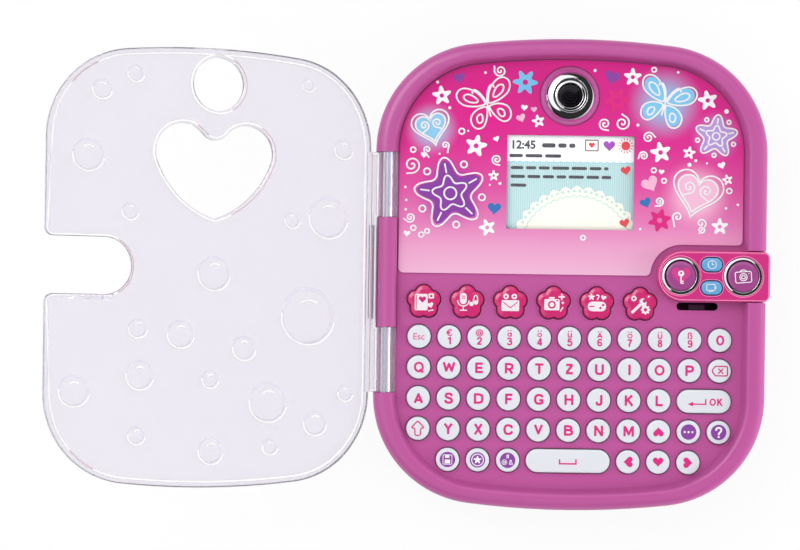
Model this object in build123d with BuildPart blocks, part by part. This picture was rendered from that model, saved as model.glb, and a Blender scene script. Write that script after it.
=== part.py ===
from build123d import *
from math import cos, radians, sin, sqrt
import os

os.makedirs("parts", exist_ok=True)

# A child's electronic secret diary: a keyboard case with a clear lid on a side hinge.
# Millimetres, +Z up. The origin is the middle of the flat base, +Y points to the camera
# end, and the hinge runs along the -X side. The lid is drawn open, resting on its stop.

# ---- Driving dimensions -------------------------------------------------------------

# Case
case_width = 152.0
case_height = 183.0
case_bow = 330.0  # radius of the outward bow of the two ends
case_corner = 42.0
split_height = 13.5  # the joint face between the rear and the front shell
shell_wall = 2.2
lip_thickness = 1.0
lip_height = 1.5
base_rounding = 6.0
rim_rounding = 4.4
rim_inner_rounding = 1.4
side_rim = 8.8
end_rim = 7.8
rim_flare = 1.4  # how far the wall round the recess leans outwards
rim_roof = 2.8  # plastic over the hollow of the rim
rim_block = 10.0  # depth of the solid rim beside the hinge and the pod
recess_depth = 5.6
deck_thickness = 2.2
deck_over_board = 3.0
opening_gap = 0.5  # round the display behind the deck

# Hinge and lid
hinge_inset = 5.0  # from the side of the case to the hinge axis
hinge_rise = 2.0  # of the hinge axis over the deck
hinge_sink = 0.4  # of the knuckles' bed into the deck
hinge_bulkhead = 2.0  # solid rim past each end of the rod
barrel_radius = 3.6
barrel_gap = 0.5
rod_radius = 1.5
rod_press_gap = 0.02
rod_running_gap = 0.05
rod_socket = 3.5  # how far the rod reaches into the rim at each end
spine_length = 42.4
knuckle_length = 25.0
knuckle_gap = 0.25
lid_open_angle = 24.5  # above the horizontal, at the open stop
lid_rest_above_deck = 3.0  # inner face of the closed lid over the deck
lid_thickness = 2.2
lid_margin = 1.0  # between the closed lid and the recess
lid_corner = 34.0
lid_hinge_edge = 7.3  # from the hinge axis to the straight inner edge of the lid
flange_start = 4.2  # the lid's flange clears the spine by this radius
lid_rounding = 1.1
lid_lip_width = 1.5
lid_lip_height = 0.8
heart_width = 46.8
heart_lobe_radius = 10.6
heart_lobe_drop = 25.9  # from the camera's window to the middles of the lobes
heart_dip_radius = 6.0
heart_side_angle = -21.0  # where each lobe turns into its side
heart_tip_drop = 50.8
heart_tip_rounding = 2.0
heart_offset = 0.2  # of the heart's middle from the middle of the case
camera_window_radius = 10.0
window_rounding = 0.5
notch_gap = 0.7  # between the lid and the button pod
notch_rounding = 3.0

# Latch
latch_side_margin = 26.4  # from the side of the case to the middle of the slot
latch_y = -11.7
latch_slot_length = 16.1
latch_slot_width = 3.1
hook_length = 15.0
hook_thickness = 2.0
hook_window_length = 7.0
hook_window_height = 2.8
hook_bar = 1.3  # plastic under the window
hook_play = 0.4  # between that bar and the tongue
hook_lead = 1.1  # rounding that finds the slot
tongue_lead = 1.0
bolt_width = 6.2
tongue_thickness = 1.5
bolt_blade = 1.6
bolt_travel = 2.8
bolt_clearance = 0.6  # between the blade and the slot
bolt_overlap = 0.5  # of the tongue past the hook
latch_clearance = 1.0  # round the hook and the bolt in the board
plunger_radius = 2.0
plunger_gap = 0.05
solenoid_size = 14.0
solenoid_length = 16.0
solenoid_height = 10.0
solenoid_floor = 5.5
solenoid_setback = 16.3  # from the slot to the middle of the solenoid

# Screen, camera and printed panel
screen_x = -0.4
screen_drop = 33.6  # from the middle of the camera to the middle of the screen
screen_width = 49.4
screen_height = 36.5
window_margin = 1.8
window_thickness = 1.2
glass_margin = 0.3
glass_gap = 0.2
module_margin = 4.3
panel_thickness = 0.8
panel_gap = 0.4
panel_corner = 2.0
pod_surround = 2.3  # bare deck between the panel and the pod
camera_x = -1.0
camera_end_margin = 14.3  # from the end of the recess to the middle of the camera
camera_base_radius = 11.4
camera_top_radius = 9.6
camera_bore_radius = 8.4
camera_ring_height = 2.8
bezel_radius = 9.3
bezel_rise = 1.7
bezel_depth = 1.8  # of the bezel's skirt inside the collar
bezel_gap = 0.1
bezel_chamfer = 1.0
bezel_lip = 1.2
bezel_land = 0.7  # a flat ring between the lip and the cone round the lens
lens_drop = 1.3  # from the top of the bezel to the top of the lens
lens_radius = 5.5
lens_dome = 0.7
camera_cube = 16.0

# Button pod
pod_overhang = 1.2  # past the side of the case
pod_rim = 2.4  # beside the shutter's ring
pod_wall = 1.8
pod_roof = 2.0
pod_rounding = 1.3
pod_skirt = 4.2  # of the pod's outer wall below the deck
pod_end_wall = 3.2
pod_gap = 0.15
pod_corner = 3.0
pod_bar_reach = 0.8  # of a button's bar past its cap
pod_bulkhead = 2.5  # solid rim at each side of the pod
pod_web = 0.4  # between a ring and the holes of the two long buttons
unlock_radius = 6.05
shutter_end_web = 3.1  # between the shutter's ring and the pod's outer face
shutter_radius = 6.25
button_ring_width = 1.0
button_gap = 0.25
button_ring_rise = 0.5
button_ring_depth = 1.2
button_rise = 0.9
pill_spread = 4.5
pill_length = 8.0
pill_width = 5.2

# Keys
key_diameter = 9.05
key_gap = 0.28
key_rise = 1.8  # above the deck
key_travel = 0.9
key_side_margin = 8.8  # from the side of the recess to the middle of the first key
key_end_margin = 11.3
key_columns = 11
key_rows = 5
first_key_y = -24.75
long_key_extra = 0.2
bar_width = 3.0
bar_reach = 0.9  # of a key's retaining bar past its cap, at each end
bar_thickness = 0.9
bar_gap = 0.2  # under the deck
flower_count = 6
flower_side_margin = 10.5
flower_latch_margin = 22.3  # from the last flower to the middle of the slot
flower_y = -11.2
petal_orbit = 3.3
petal_radius = 3.0
petal_count = 5

# Electronics
board_thickness = 1.6
board_inset = 6.2
membrane_thickness = 0.6
pad_size = 4.0
pad_gap = 0.1  # left under a key that is pressed home
membrane_inset = 2.0  # from the edge of the board
membrane_edge_y = -3.5
chip_size = 14.0
chip_thickness = 1.6
chip_spread = 30.0  # from the middle of the screen to each chip
post_radius = 2.0
left_post_x = -44.0
right_post_x = 18.0
low_post_y = 5.0
top_post_x = 38.0
top_post_end = 19.5  # from the camera end of the case

# Battery bay
cell_diameter = 14.5
cell_length = 50.5
cell_count = 4
cell_gap = 0.3
contact_depth = 4.0
contact_plate = 0.4
contact_radius = 3.0
bay_wall = 1.6
bay_roof = 1.2
door_thickness = 2.0
door_end_margin = 11.75  # from the end of the case
door_margin = 3.0
door_tail = 9.0  # the end of the door that carries its screw
door_corner = 4.0
door_gap = 0.2
door_web = 0.6  # under the head of the door's screw
door_screw_length = 5.5
door_ledge = 2.0

# Screws, speaker and microphone
boss_radius = 3.4
boss_split = 9.0
boss_roof = 1.0
top_boss_side = 22.0  # bosses: from the side and from the end of the case
top_boss_end = 25.5
middle_boss_side = 18.0
middle_boss_y = 18.0
low_boss_side = 18.5
low_boss_end = 19.5
screw_radius = 1.25
screw_head_radius = 2.4
screw_head_height = 1.6
screw_head_seat = 3.0
screw_length = 13.0
screw_hole_spare = 0.4  # past the tip of the screw
shank_gap = 0.25
thread_gap = 0.02
speaker_side_margin = 36.0
speaker_end_margin = 39.5
speaker_radius = 14.0
speaker_depth = 6.5
speaker_rim = 3.0
cone_depth = 2.0
magnet_radius = 8.0
microphone_gap = 3.0  # from the display's frame
microphone_radius = 3.0
slot_width = 1.6
slot_pitch = 3.6
slot_length = 19.6
slot_count = 5

# ---- Sizes worked out from them -----------------------------------------------------

half_width = case_width / 2
half_height = case_height / 2
recess_half_width = half_width - side_rim
recess_half_height = half_height - end_rim

# The stack from the base up: door, cells, the roof of their bay, board, deck, rim
bay_ceiling = door_thickness + cell_diameter + 3 * cell_gap
board_floor = bay_ceiling + bay_roof
board_top = board_floor + board_thickness
membrane_top = board_top + membrane_thickness
deck_underside = board_top + deck_over_board
deck_height = deck_underside + deck_thickness
case_depth = deck_height + recess_depth
key_top = deck_height + key_rise
bar_top = deck_underside - bar_gap
key_foot = bar_top - bar_thickness
pad_top = key_foot - key_travel - pad_gap
cell_height = door_thickness + cell_gap + cell_diameter / 2

hinge_x = -half_width + hinge_inset
hinge_z = deck_height + hinge_rise
spine_half_length = spine_length / 2
hinge_half_length = spine_half_length + knuckle_length + 2 * knuckle_gap
rod_half_length = hinge_half_length + rod_socket
hinge_floor = deck_height - hinge_sink

camera_y = recess_half_height - camera_end_margin
screen_y = camera_y - screen_drop
heart_lobe_height = camera_y - heart_lobe_drop
heart_tip_height = camera_y - heart_tip_drop

unlock_ring_radius = unlock_radius + button_gap + button_ring_width
shutter_ring_radius = shutter_radius + button_gap + button_ring_width
pod_half_width = shutter_ring_radius + pod_rim
pod_right = half_width + pod_overhang
shutter_x = pod_right - shutter_end_web - shutter_ring_radius
pill_x = shutter_x - shutter_ring_radius - pod_web - button_gap - pill_length / 2
unlock_x = pill_x - pill_length / 2 - button_gap - pod_web - unlock_ring_radius
pod_left = unlock_x - unlock_ring_radius - pod_wall
pod_middle_x = pod_left + pod_half_width
pod_ceiling = case_depth - pod_roof
pod_foot = deck_underside - pod_skirt

bay_length = cell_length + 2 * contact_depth
bay_width = cell_count * (cell_diameter + cell_gap) + cell_gap
door_low_y = -half_height + door_end_margin
bay_middle_y = door_low_y + door_tail + bay_width / 2
door_top_y = bay_middle_y + bay_width / 2 + door_margin
door_middle_y = (door_top_y + door_low_y) / 2
door_length = bay_length + 2 * door_margin
door_width = door_top_y - door_low_y
door_screw_y = door_low_y + door_tail / 2

latch_x = half_width - latch_side_margin
solenoid_y = latch_y - solenoid_setback
hook_reach = lid_rest_above_deck + deck_thickness + bar_gap + tongue_thickness + hook_play + hook_bar
speaker_x = half_width - speaker_side_margin
speaker_y = half_height - speaker_end_margin
microphone_x = screen_x + screen_width / 2 + module_margin + microphone_gap + microphone_radius
microphone_y = screen_y - screen_height / 2 + microphone_radius

# Each pair of bosses: its distance from the middle line, and its Y
boss_rows = [
    (half_width - top_boss_side, half_height - top_boss_end),
    (half_width - middle_boss_side, middle_boss_y),
    (half_width - low_boss_side, -half_height + low_boss_end),
]
boss_places = [(side * x, y) for x, y in boss_rows for side in (-1, 1)]
top_post_y = half_height - top_post_end
post_places = [
    (left_post_x, low_post_y),
    (right_post_x, low_post_y),
    (-top_post_x, top_post_y),
    (top_post_x, top_post_y),
]

key_first_x = -recess_half_width + key_side_margin
key_pitch_x = -2 * key_first_x / (key_columns - 1)
key_last_y = -recess_half_height + key_end_margin
key_pitch_y = (first_key_y - key_last_y) / (key_rows - 1)
bar_length = key_diameter + 2 * bar_reach
enter_length = key_pitch_x + key_diameter + long_key_extra
space_length = 2 * key_pitch_x + key_diameter + long_key_extra
flower_first_x = -recess_half_width + flower_side_margin
flower_pitch = (latch_x - flower_latch_margin - flower_first_x) / (flower_count - 1)


def key_place(row, column):
    """The middle of the key in a row, counted from the digits down, and a column."""
    return (key_first_x + column * key_pitch_x, first_key_y - row * key_pitch_y)


# ---- Outlines -----------------------------------------------------------------------


def rounded_outline(half_x, half_y, bow, corner, middle_x=0.0):
    """A tall plate shape: straight sides, ends bowed outwards and round corners."""
    shoulder = half_y - bow + sqrt(bow**2 - half_x**2)
    left = middle_x - half_x
    right = middle_x + half_x
    with BuildSketch() as outline:
        with BuildLine():
            ThreePointArc((left, shoulder), (middle_x, half_y), (right, shoulder))
            Line((right, shoulder), (right, -shoulder))
            ThreePointArc((right, -shoulder), (middle_x, -half_y), (left, -shoulder))
            Line((left, -shoulder), (left, shoulder))
        make_face()
        fillet(outline.vertices(), corner)
    return outline.sketch


def case_outline(inset):
    """The outline of the case, moved inwards."""
    return rounded_outline(
        half_width - inset, half_height - inset, case_bow - inset, case_corner - inset
    )


def recess_outline(outset):
    """The outline of the recess in the case's face, moved outwards."""
    return rounded_outline(
        recess_half_width + outset,
        recess_half_height + outset,
        case_bow - end_rim + outset,
        case_corner - end_rim + outset,
    )


def pod_outline(grow, right):
    """The button pod from above: one round end, and one square end at the given X."""
    with BuildSketch() as outline:
        with Locations((pod_middle_x, 0)):
            Circle(pod_half_width + grow)
        with Locations(((pod_middle_x + right) / 2, 0)):
            Rectangle(right - pod_middle_x, 2 * (pod_half_width + grow))
    return outline.sketch


def flower_outline(grow):
    """A flower with one petal pointing to the camera end."""
    with BuildSketch() as outline:
        Circle(petal_orbit)
        with PolarLocations(petal_orbit, petal_count, start_angle=90):
            Circle(petal_radius + grow)
    return outline.sketch


def heart_outline(middle_x):
    """A heart: two round lobes with a soft dip between them, and bowed sides down to the tip."""
    lobe_x = heart_width / 2 - heart_lobe_radius
    reach = heart_lobe_radius + heart_dip_radius
    dip_middle = heart_lobe_height + sqrt(reach**2 - lobe_x**2)
    share = heart_lobe_radius / reach
    dip_x = lobe_x * (1 - share)
    dip_y = heart_lobe_height + (dip_middle - heart_lobe_height) * share
    turn = radians(heart_side_angle)
    side_x = lobe_x + heart_lobe_radius * cos(turn)
    side_y = heart_lobe_height + heart_lobe_radius * sin(turn)
    shoulder_x = lobe_x + heart_lobe_radius * sin(radians(30))
    shoulder_y = heart_lobe_height + heart_lobe_radius * cos(radians(30))
    with BuildSketch() as outline:
        with BuildLine():
            ThreePointArc(
                (middle_x - dip_x, dip_y),
                (middle_x, dip_middle - heart_dip_radius),
                (middle_x + dip_x, dip_y),
            )
            for side in (-1, 1):
                ThreePointArc(
                    (middle_x + side * dip_x, dip_y),
                    (middle_x + side * shoulder_x, shoulder_y),
                    (middle_x + side * side_x, side_y),
                )
                TangentArc(
                    (middle_x + side * side_x, side_y),
                    (middle_x, heart_tip_height),
                    tangent=(side * sin(turn), -cos(turn)),
                )
        make_face()
        fillet(outline.vertices().sort_by(Axis.Y)[0], heart_tip_rounding)
    return outline.sketch


# ---- Rear shell ---------------------------------------------------------------------

with BuildPart() as rear_shell:
    with BuildSketch():
        add(case_outline(0))
    extrude(amount=split_height)
    fillet(rear_shell.faces().sort_by(Axis.Z)[0].edges(), base_rounding)
    with BuildSketch(Plane.XY.offset(shell_wall)):
        add(case_outline(shell_wall))
    extrude(amount=split_height - shell_wall, mode=Mode.SUBTRACT)
    inner_floor = rear_shell.faces().filter_by(Axis.Z).sort_by(Axis.Z)[1]
    chamfer(inner_floor.edges(), base_rounding - shell_wall)
    # A lip that stands up inside the front shell
    with BuildSketch(Plane.XY.offset(split_height)):
        add(case_outline(shell_wall - lip_thickness))
        add(case_outline(shell_wall), mode=Mode.SUBTRACT)
    extrude(amount=lip_height)
    # The battery box, with a ledge for the door all round its mouth
    with BuildSketch(Plane.XY.offset(shell_wall)):
        with Locations((0, door_middle_y)):
            RectangleRounded(
                door_length + 2 * door_ledge, door_width + 2 * door_ledge, door_corner + door_ledge
            )
    extrude(amount=door_thickness + bay_wall - shell_wall)
    with BuildSketch(Plane.XY.offset(shell_wall)):
        with Locations((0, bay_middle_y)):
            Rectangle(bay_length + 2 * bay_wall, bay_width + 2 * bay_wall)
    extrude(amount=bay_ceiling + bay_roof - shell_wall)
    with BuildSketch():
        with Locations((0, door_middle_y)):
            RectangleRounded(door_length + 2 * door_gap, door_width + 2 * door_gap, door_corner)
    extrude(amount=door_thickness, mode=Mode.SUBTRACT)
    with BuildSketch(Plane.XY.offset(door_thickness)):
        with Locations((0, bay_middle_y)):
            Rectangle(bay_length, bay_width)
    extrude(amount=bay_ceiling - door_thickness, mode=Mode.SUBTRACT)
    # The boss for the door's screw
    with BuildSketch(Plane.XY.offset(door_thickness)):
        with Locations((0, door_screw_y)):
            Circle(boss_radius)
    extrude(amount=boss_split - door_thickness)
    with BuildSketch(Plane.XY.offset(door_thickness)):
        with Locations((0, door_screw_y)):
            Circle(screw_radius + thread_gap)
    extrude(amount=boss_split - door_thickness - boss_roof, mode=Mode.SUBTRACT)
    # Bosses that the case screws pass through
    with BuildSketch(Plane.XY.offset(shell_wall)):
        with Locations(*boss_places):
            Circle(boss_radius)
    extrude(amount=boss_split - shell_wall)
    with BuildSketch():
        with Locations(*boss_places):
            Circle(screw_head_radius + shank_gap)
    extrude(amount=screw_head_seat + screw_head_height, mode=Mode.SUBTRACT)
    with BuildSketch():
        with Locations(*boss_places):
            Circle(screw_radius + shank_gap)
    extrude(amount=boss_split, mode=Mode.SUBTRACT)
    # The speaker's collar and the slots under it
    with BuildSketch(Plane.XY.offset(shell_wall)):
        with Locations((speaker_x, speaker_y)):
            Circle(speaker_radius + bay_wall)
            Circle(speaker_radius + door_gap, mode=Mode.SUBTRACT)
    extrude(amount=speaker_depth / 2)
    with BuildSketch():
        with Locations((speaker_x, speaker_y)):
            with GridLocations(0, slot_pitch, 1, slot_count):
                SlotOverall(slot_length, slot_width)
    extrude(amount=shell_wall, mode=Mode.SUBTRACT)
    # The pedestal that carries the latch's solenoid
    with BuildSketch(Plane.XY.offset(shell_wall)):
        with Locations((latch_x, solenoid_y)):
            Rectangle(solenoid_size, solenoid_length)
    extrude(amount=solenoid_floor - shell_wall)
rear_shell.part.label = "rear_shell"
export_step(rear_shell.part, "parts/rear_shell.step")

# ---- Front shell --------------------------------------------------------------------

round_holes = [key_place(row, column) for row in range(4) for column in range(key_columns)]
round_holes.remove(key_place(2, 9))
round_holes.remove(key_place(2, 10))
round_holes += [key_place(4, column) for column in (1, 2, 3, 7, 8, 9)]
enter_place = ((key_place(2, 9)[0] + key_place(2, 10)[0]) / 2, key_place(2, 9)[1])
space_place = key_place(4, 5)
flower_places = [(flower_first_x + n * flower_pitch, flower_y) for n in range(flower_count)]
hinge_block_left = -half_width + shell_wall / 2
hinge_block_right = -recess_half_width + shell_wall
hinge_block_floor = hinge_z - barrel_radius - barrel_gap - shell_wall
screw_tip = screw_head_seat + screw_head_height + screw_length

with BuildPart() as front_shell:
    with BuildSketch(Plane.XY.offset(split_height)):
        add(case_outline(0))
    extrude(amount=case_depth - split_height)
    # The recess for the keys, the panel and the closed lid, with a leaning wall
    with BuildSketch(Plane.XY.offset(deck_height)):
        add(recess_outline(0))
    with BuildSketch(Plane.XY.offset(case_depth)):
        add(recess_outline(rim_flare))
    loft(mode=Mode.SUBTRACT)
    rim_face = front_shell.faces().filter_by(Axis.Z).sort_by(Axis.Z)[-1]
    fillet(rim_face.outer_wire().edges(), rim_rounding)
    rim_face = front_shell.faces().filter_by(Axis.Z).sort_by(Axis.Z)[-1]
    fillet(rim_face.inner_wires()[0].edges(), rim_inner_rounding)
    # The hollow under the deck, and the step that takes the rear shell's lip
    with BuildSketch(Plane.XY.offset(split_height)):
        add(case_outline(shell_wall))
    extrude(amount=deck_underside - split_height, mode=Mode.SUBTRACT)
    with BuildSketch(Plane.XY.offset(split_height)):
        add(case_outline(shell_wall - lip_thickness - key_gap / 2))
    extrude(amount=lip_height + key_gap / 2, mode=Mode.SUBTRACT)
    # The hollow of the rim, left solid beside the hinge and the pod
    with BuildSketch(Plane.XY.offset(deck_underside)):
        add(case_outline(shell_wall))
        add(recess_outline(rim_flare + shell_wall), mode=Mode.SUBTRACT)
        with Locations((-half_width, 0)):
            Rectangle(2 * rim_block, 2 * (rod_half_length + hinge_bulkhead), mode=Mode.SUBTRACT)
        with Locations((half_width, 0)):
            Rectangle(2 * rim_block, 2 * (pod_half_width + pod_bulkhead), mode=Mode.SUBTRACT)
    extrude(amount=case_depth - rim_roof - deck_underside, mode=Mode.SUBTRACT)
    # The bed of the hinge and the gap that the lid's knuckles turn in
    with BuildSketch(Plane.XY.offset(hinge_block_floor)):
        with Locations(((hinge_block_left + hinge_block_right) / 2, 0)):
            Rectangle(
                hinge_block_right - hinge_block_left, 2 * (rod_half_length + hinge_bulkhead)
            )
    extrude(amount=hinge_floor - hinge_block_floor)
    with BuildSketch(Plane.XY.offset(hinge_floor)):
        with Locations((-recess_half_width - side_rim, 0)):
            Rectangle(2 * side_rim, 2 * hinge_half_length)
    extrude(amount=case_depth - hinge_floor, mode=Mode.SUBTRACT)
    with BuildSketch(Plane.XZ.offset(-hinge_half_length)):
        with Locations((hinge_x, hinge_z)):
            Circle(barrel_radius + barrel_gap)
    extrude(amount=2 * hinge_half_length, mode=Mode.SUBTRACT)
    # The spine between the two knuckles
    with BuildSketch(Plane.XZ.offset(-spine_half_length)):
        with Locations((hinge_x, hinge_z)):
            Circle(barrel_radius)
        with Locations((hinge_x, (hinge_z + hinge_block_floor) / 2)):
            Rectangle(2 * barrel_radius, hinge_z - hinge_block_floor)
    extrude(amount=2 * spine_half_length)
    with BuildSketch(Plane.XZ.offset(-rod_half_length - rod_press_gap)):
        with Locations((hinge_x, hinge_z)):
            Circle(rod_radius + rod_press_gap)
    extrude(amount=2 * (rod_half_length + rod_press_gap), mode=Mode.SUBTRACT)
    # The seat of the button pod: a gap in the rim, a well in the deck, a notch in the side
    with BuildSketch(Plane.XY.offset(deck_height)):
        add(pod_outline(pod_gap, pod_right + pod_gap))
    extrude(amount=case_depth - deck_height, mode=Mode.SUBTRACT)
    with BuildSketch(Plane.XY.offset(deck_underside)):
        add(pod_outline(-pod_wall, half_width - shell_wall))
    extrude(amount=deck_thickness, mode=Mode.SUBTRACT)
    with BuildSketch(Plane.XY.offset(pod_foot - pod_gap)):
        with Locations((pod_right, 0)):
            Rectangle(2 * (pod_end_wall + pod_gap), 2 * (pod_half_width + pod_gap))
    extrude(amount=deck_height - pod_foot + pod_gap, mode=Mode.SUBTRACT)
    # The camera's collar
    with BuildSketch(Plane.XY.offset(deck_height)):
        with Locations((camera_x, camera_y)):
            Circle(camera_base_radius)
    with BuildSketch(Plane.XY.offset(deck_height + camera_ring_height)):
        with Locations((camera_x, camera_y)):
            Circle(camera_top_radius)
    loft()
    with BuildSketch(Plane.XY.offset(deck_underside)):
        with Locations((camera_x, camera_y)):
            Circle(camera_bore_radius)
    extrude(amount=deck_thickness + camera_ring_height, mode=Mode.SUBTRACT)
    # The screen's opening and the seat of its window
    with BuildSketch(Plane.XY.offset(deck_height - window_thickness)):
        with Locations((screen_x, screen_y)):
            Rectangle(
                screen_width + 2 * (window_margin + pod_gap),
                screen_height + 2 * (window_margin + pod_gap),
            )
    extrude(amount=window_thickness, mode=Mode.SUBTRACT)
    with BuildSketch(Plane.XY.offset(deck_underside)):
        with Locations((screen_x, screen_y)):
            Rectangle(screen_width + 2 * opening_gap, screen_height + 2 * opening_gap)
    extrude(amount=deck_thickness, mode=Mode.SUBTRACT)
    # Holes for the keys and the flower buttons, and the latch's slot
    with BuildSketch(Plane.XY.offset(deck_underside)):
        with Locations(*round_holes):
            Circle(key_diameter / 2 + key_gap)
        with Locations(enter_place):
            SlotOverall(enter_length + 2 * key_gap, key_diameter + 2 * key_gap)
        with Locations(space_place):
            SlotOverall(space_length + 2 * key_gap, key_diameter + 2 * key_gap)
        for place in flower_places:
            with Locations(place):
                add(flower_outline(key_gap))
        with Locations((latch_x, latch_y)):
            SlotOverall(latch_slot_length, latch_slot_width)
    extrude(amount=deck_thickness, mode=Mode.SUBTRACT)
    # Bosses for the case screws, and posts that hold the board down
    with BuildSketch(Plane.XY.offset(deck_underside)):
        with Locations(*boss_places):
            Circle(boss_radius)
    extrude(amount=boss_split - deck_underside)
    with BuildSketch(Plane.XY.offset(boss_split)):
        with Locations(*boss_places):
            Circle(screw_radius + thread_gap)
    extrude(amount=screw_tip + screw_hole_spare - boss_split, mode=Mode.SUBTRACT)
    with BuildSketch(Plane.XY.offset(deck_underside)):
        with Locations(*post_places):
            Circle(post_radius)
    extrude(amount=board_top - deck_underside)
front_shell.part.label = "front_shell"
export_step(front_shell.part, "parts/front_shell.step")

# ---- Lid ----------------------------------------------------------------------------

# Drawn in its own plane at the hinge: x runs from the hinge across the lid, y along the
# hinge, z out of the lid's outer face. lid_x turns a closed lid's X into that x.
lid_plane = Plane(
    origin=(hinge_x, 0, hinge_z),
    x_dir=(-cos(radians(lid_open_angle)), 0, sin(radians(lid_open_angle))),
    z_dir=(-sin(radians(lid_open_angle)), 0, -cos(radians(lid_open_angle))),
)
lid_inner = deck_height + lid_rest_above_deck - hinge_z
lid_outer = lid_inner + lid_thickness
lid_far_edge = recess_half_width - lid_margin - hinge_x
lid_half_width = (lid_far_edge - lid_hinge_edge) / 2
lid_half_height = recess_half_height - lid_margin
lid_middle = lid_far_edge - lid_half_width
notch_radius = pod_half_width + notch_gap


def lid_x(closed_x):
    """The distance from the hinge axis to a point of the closed lid."""
    return closed_x - hinge_x


def lid_outline(inset):
    """The lid's outline, moved inwards."""
    return rounded_outline(
        lid_half_width - inset,
        lid_half_height - inset,
        case_bow - end_rim,
        lid_corner - inset,
        lid_middle,
    )


with BuildPart() as lid:
    with BuildSketch(lid_plane.offset(lid_inner)) as lid_face:
        add(lid_outline(0))
        with Locations((lid_x(pod_middle_x), 0)):
            Circle(notch_radius, mode=Mode.SUBTRACT)
        with Locations((lid_far_edge, 0)):
            Rectangle(
                2 * (lid_far_edge - lid_x(pod_middle_x)), 2 * notch_radius, mode=Mode.SUBTRACT
            )
        mouth_limit = notch_radius + notch_gap
        mouth = lid_face.vertices().filter_by_position(Axis.Y, -mouth_limit, mouth_limit)
        fillet(mouth.group_by(Axis.X)[-1], notch_rounding)
        add(heart_outline(lid_x(heart_offset)), mode=Mode.SUBTRACT)
        with Locations((lid_x(camera_x), camera_y)):
            Circle(camera_window_radius, mode=Mode.SUBTRACT)
    extrude(amount=lid_thickness)
    outward = Axis(lid_plane.origin, lid_plane.z_dir)
    fillet(lid.faces().sort_by(outward)[-1].outer_wire().edges(), lid_rounding)
    # The windows' edges are eased on both faces
    for window_face in (lid.faces().sort_by(outward)[0], lid.faces().sort_by(outward)[-1]):
        fillet(window_face.inner_wires().edges(), window_rounding)
    # A lip round the inner face
    with BuildSketch(lid_plane.offset(lid_inner - lid_lip_height)):
        add(lid_outline(0))
        add(lid_outline(lid_lip_width), mode=Mode.SUBTRACT)
        with Locations((lid_far_edge, 0)):
            Rectangle(lid_half_width, 2 * notch_radius + 2 * lid_rounding, mode=Mode.SUBTRACT)
    extrude(amount=lid_lip_height)
    # The flange along the hinge and the two knuckles
    with BuildSketch(lid_plane.offset(lid_inner)):
        with Locations(((flange_start + lid_hinge_edge + lid_lip_width) / 2, 0)):
            Rectangle(
                lid_hinge_edge + lid_lip_width - flange_start,
                2 * (hinge_half_length - knuckle_gap),
            )
        for side in (-1, 1):
            middle_y = side * (spine_half_length + knuckle_gap + knuckle_length / 2)
            with Locations((lid_hinge_edge / 2, middle_y)):
                Rectangle(lid_hinge_edge, knuckle_length)
    extrude(amount=lid_thickness)
    for knuckle_y in (hinge_half_length - knuckle_gap, -spine_half_length - knuckle_gap):
        with BuildSketch(Plane.XZ.offset(-knuckle_y)):
            with Locations((hinge_x, hinge_z)):
                Circle(barrel_radius)
        extrude(amount=knuckle_length)
        with BuildSketch(Plane.XZ.offset(-knuckle_y)):
            with Locations((hinge_x, hinge_z)):
                Circle(rod_radius + rod_running_gap)
        extrude(amount=knuckle_length, mode=Mode.SUBTRACT)
    # The hook that reaches through the slot, and its window
    with BuildSketch(lid_plane.offset(lid_inner - hook_reach)):
        with Locations((lid_x(latch_x), latch_y)):
            Rectangle(hook_length, hook_thickness)
    extrude(amount=hook_reach)
    fillet(lid.edges().group_by(outward)[0].filter_by(Axis.Y), hook_lead)
    with BuildSketch(lid_plane.offset(lid_inner - hook_reach + hook_bar)):
        with Locations((lid_x(latch_x), latch_y)):
            Rectangle(hook_window_length, hook_thickness)
    extrude(amount=hook_window_height, mode=Mode.SUBTRACT)
lid.part.label = "lid"
export_step(lid.part, "parts/lid.step")

with BuildPart() as hinge_rod:
    with BuildSketch(Plane.XZ.offset(-rod_half_length)):
        with Locations((hinge_x, hinge_z)):
            Circle(rod_radius)
    extrude(amount=2 * rod_half_length)
hinge_rod.part.label = "hinge_rod"
export_step(hinge_rod.part, "parts/hinge_rod.step")

# ---- Latch --------------------------------------------------------------------------

bolt_face = latch_y - latch_slot_width / 2 - bolt_clearance
bolt_tip = latch_y + hook_thickness / 2 + bolt_overlap
plunger_height = solenoid_floor + solenoid_height / 2
solenoid_face = solenoid_y + solenoid_length / 2

with BuildPart() as latch_bolt:
    # The tongue that holds the hook
    with BuildSketch(Plane.XY.offset(bar_top - tongue_thickness)):
        with Locations((latch_x, (bolt_tip + bolt_face - bolt_blade) / 2)):
            Rectangle(bolt_width, bolt_tip - bolt_face + bolt_blade)
    extrude(amount=tongue_thickness)
    tip_edges = latch_bolt.edges().filter_by(Axis.X).group_by(Axis.Y)[-1]
    chamfer(tip_edges.sort_by(Axis.Z)[-1], tongue_lead)
    # The blade down to the plunger
    with BuildSketch(Plane.XY.offset(plunger_height - plunger_radius)):
        with Locations((latch_x, bolt_face - bolt_blade / 2)):
            Rectangle(bolt_width, bolt_blade)
    extrude(amount=bar_top - plunger_height + plunger_radius)
    with BuildSketch(Plane.XZ.offset(-bolt_face + bolt_blade)):
        with Locations((latch_x, plunger_height)):
            Circle(plunger_radius)
    extrude(amount=bolt_face - bolt_blade - solenoid_y)
latch_bolt.part.label = "latch_bolt"
export_step(latch_bolt.part, "parts/latch_bolt.step")

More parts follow.
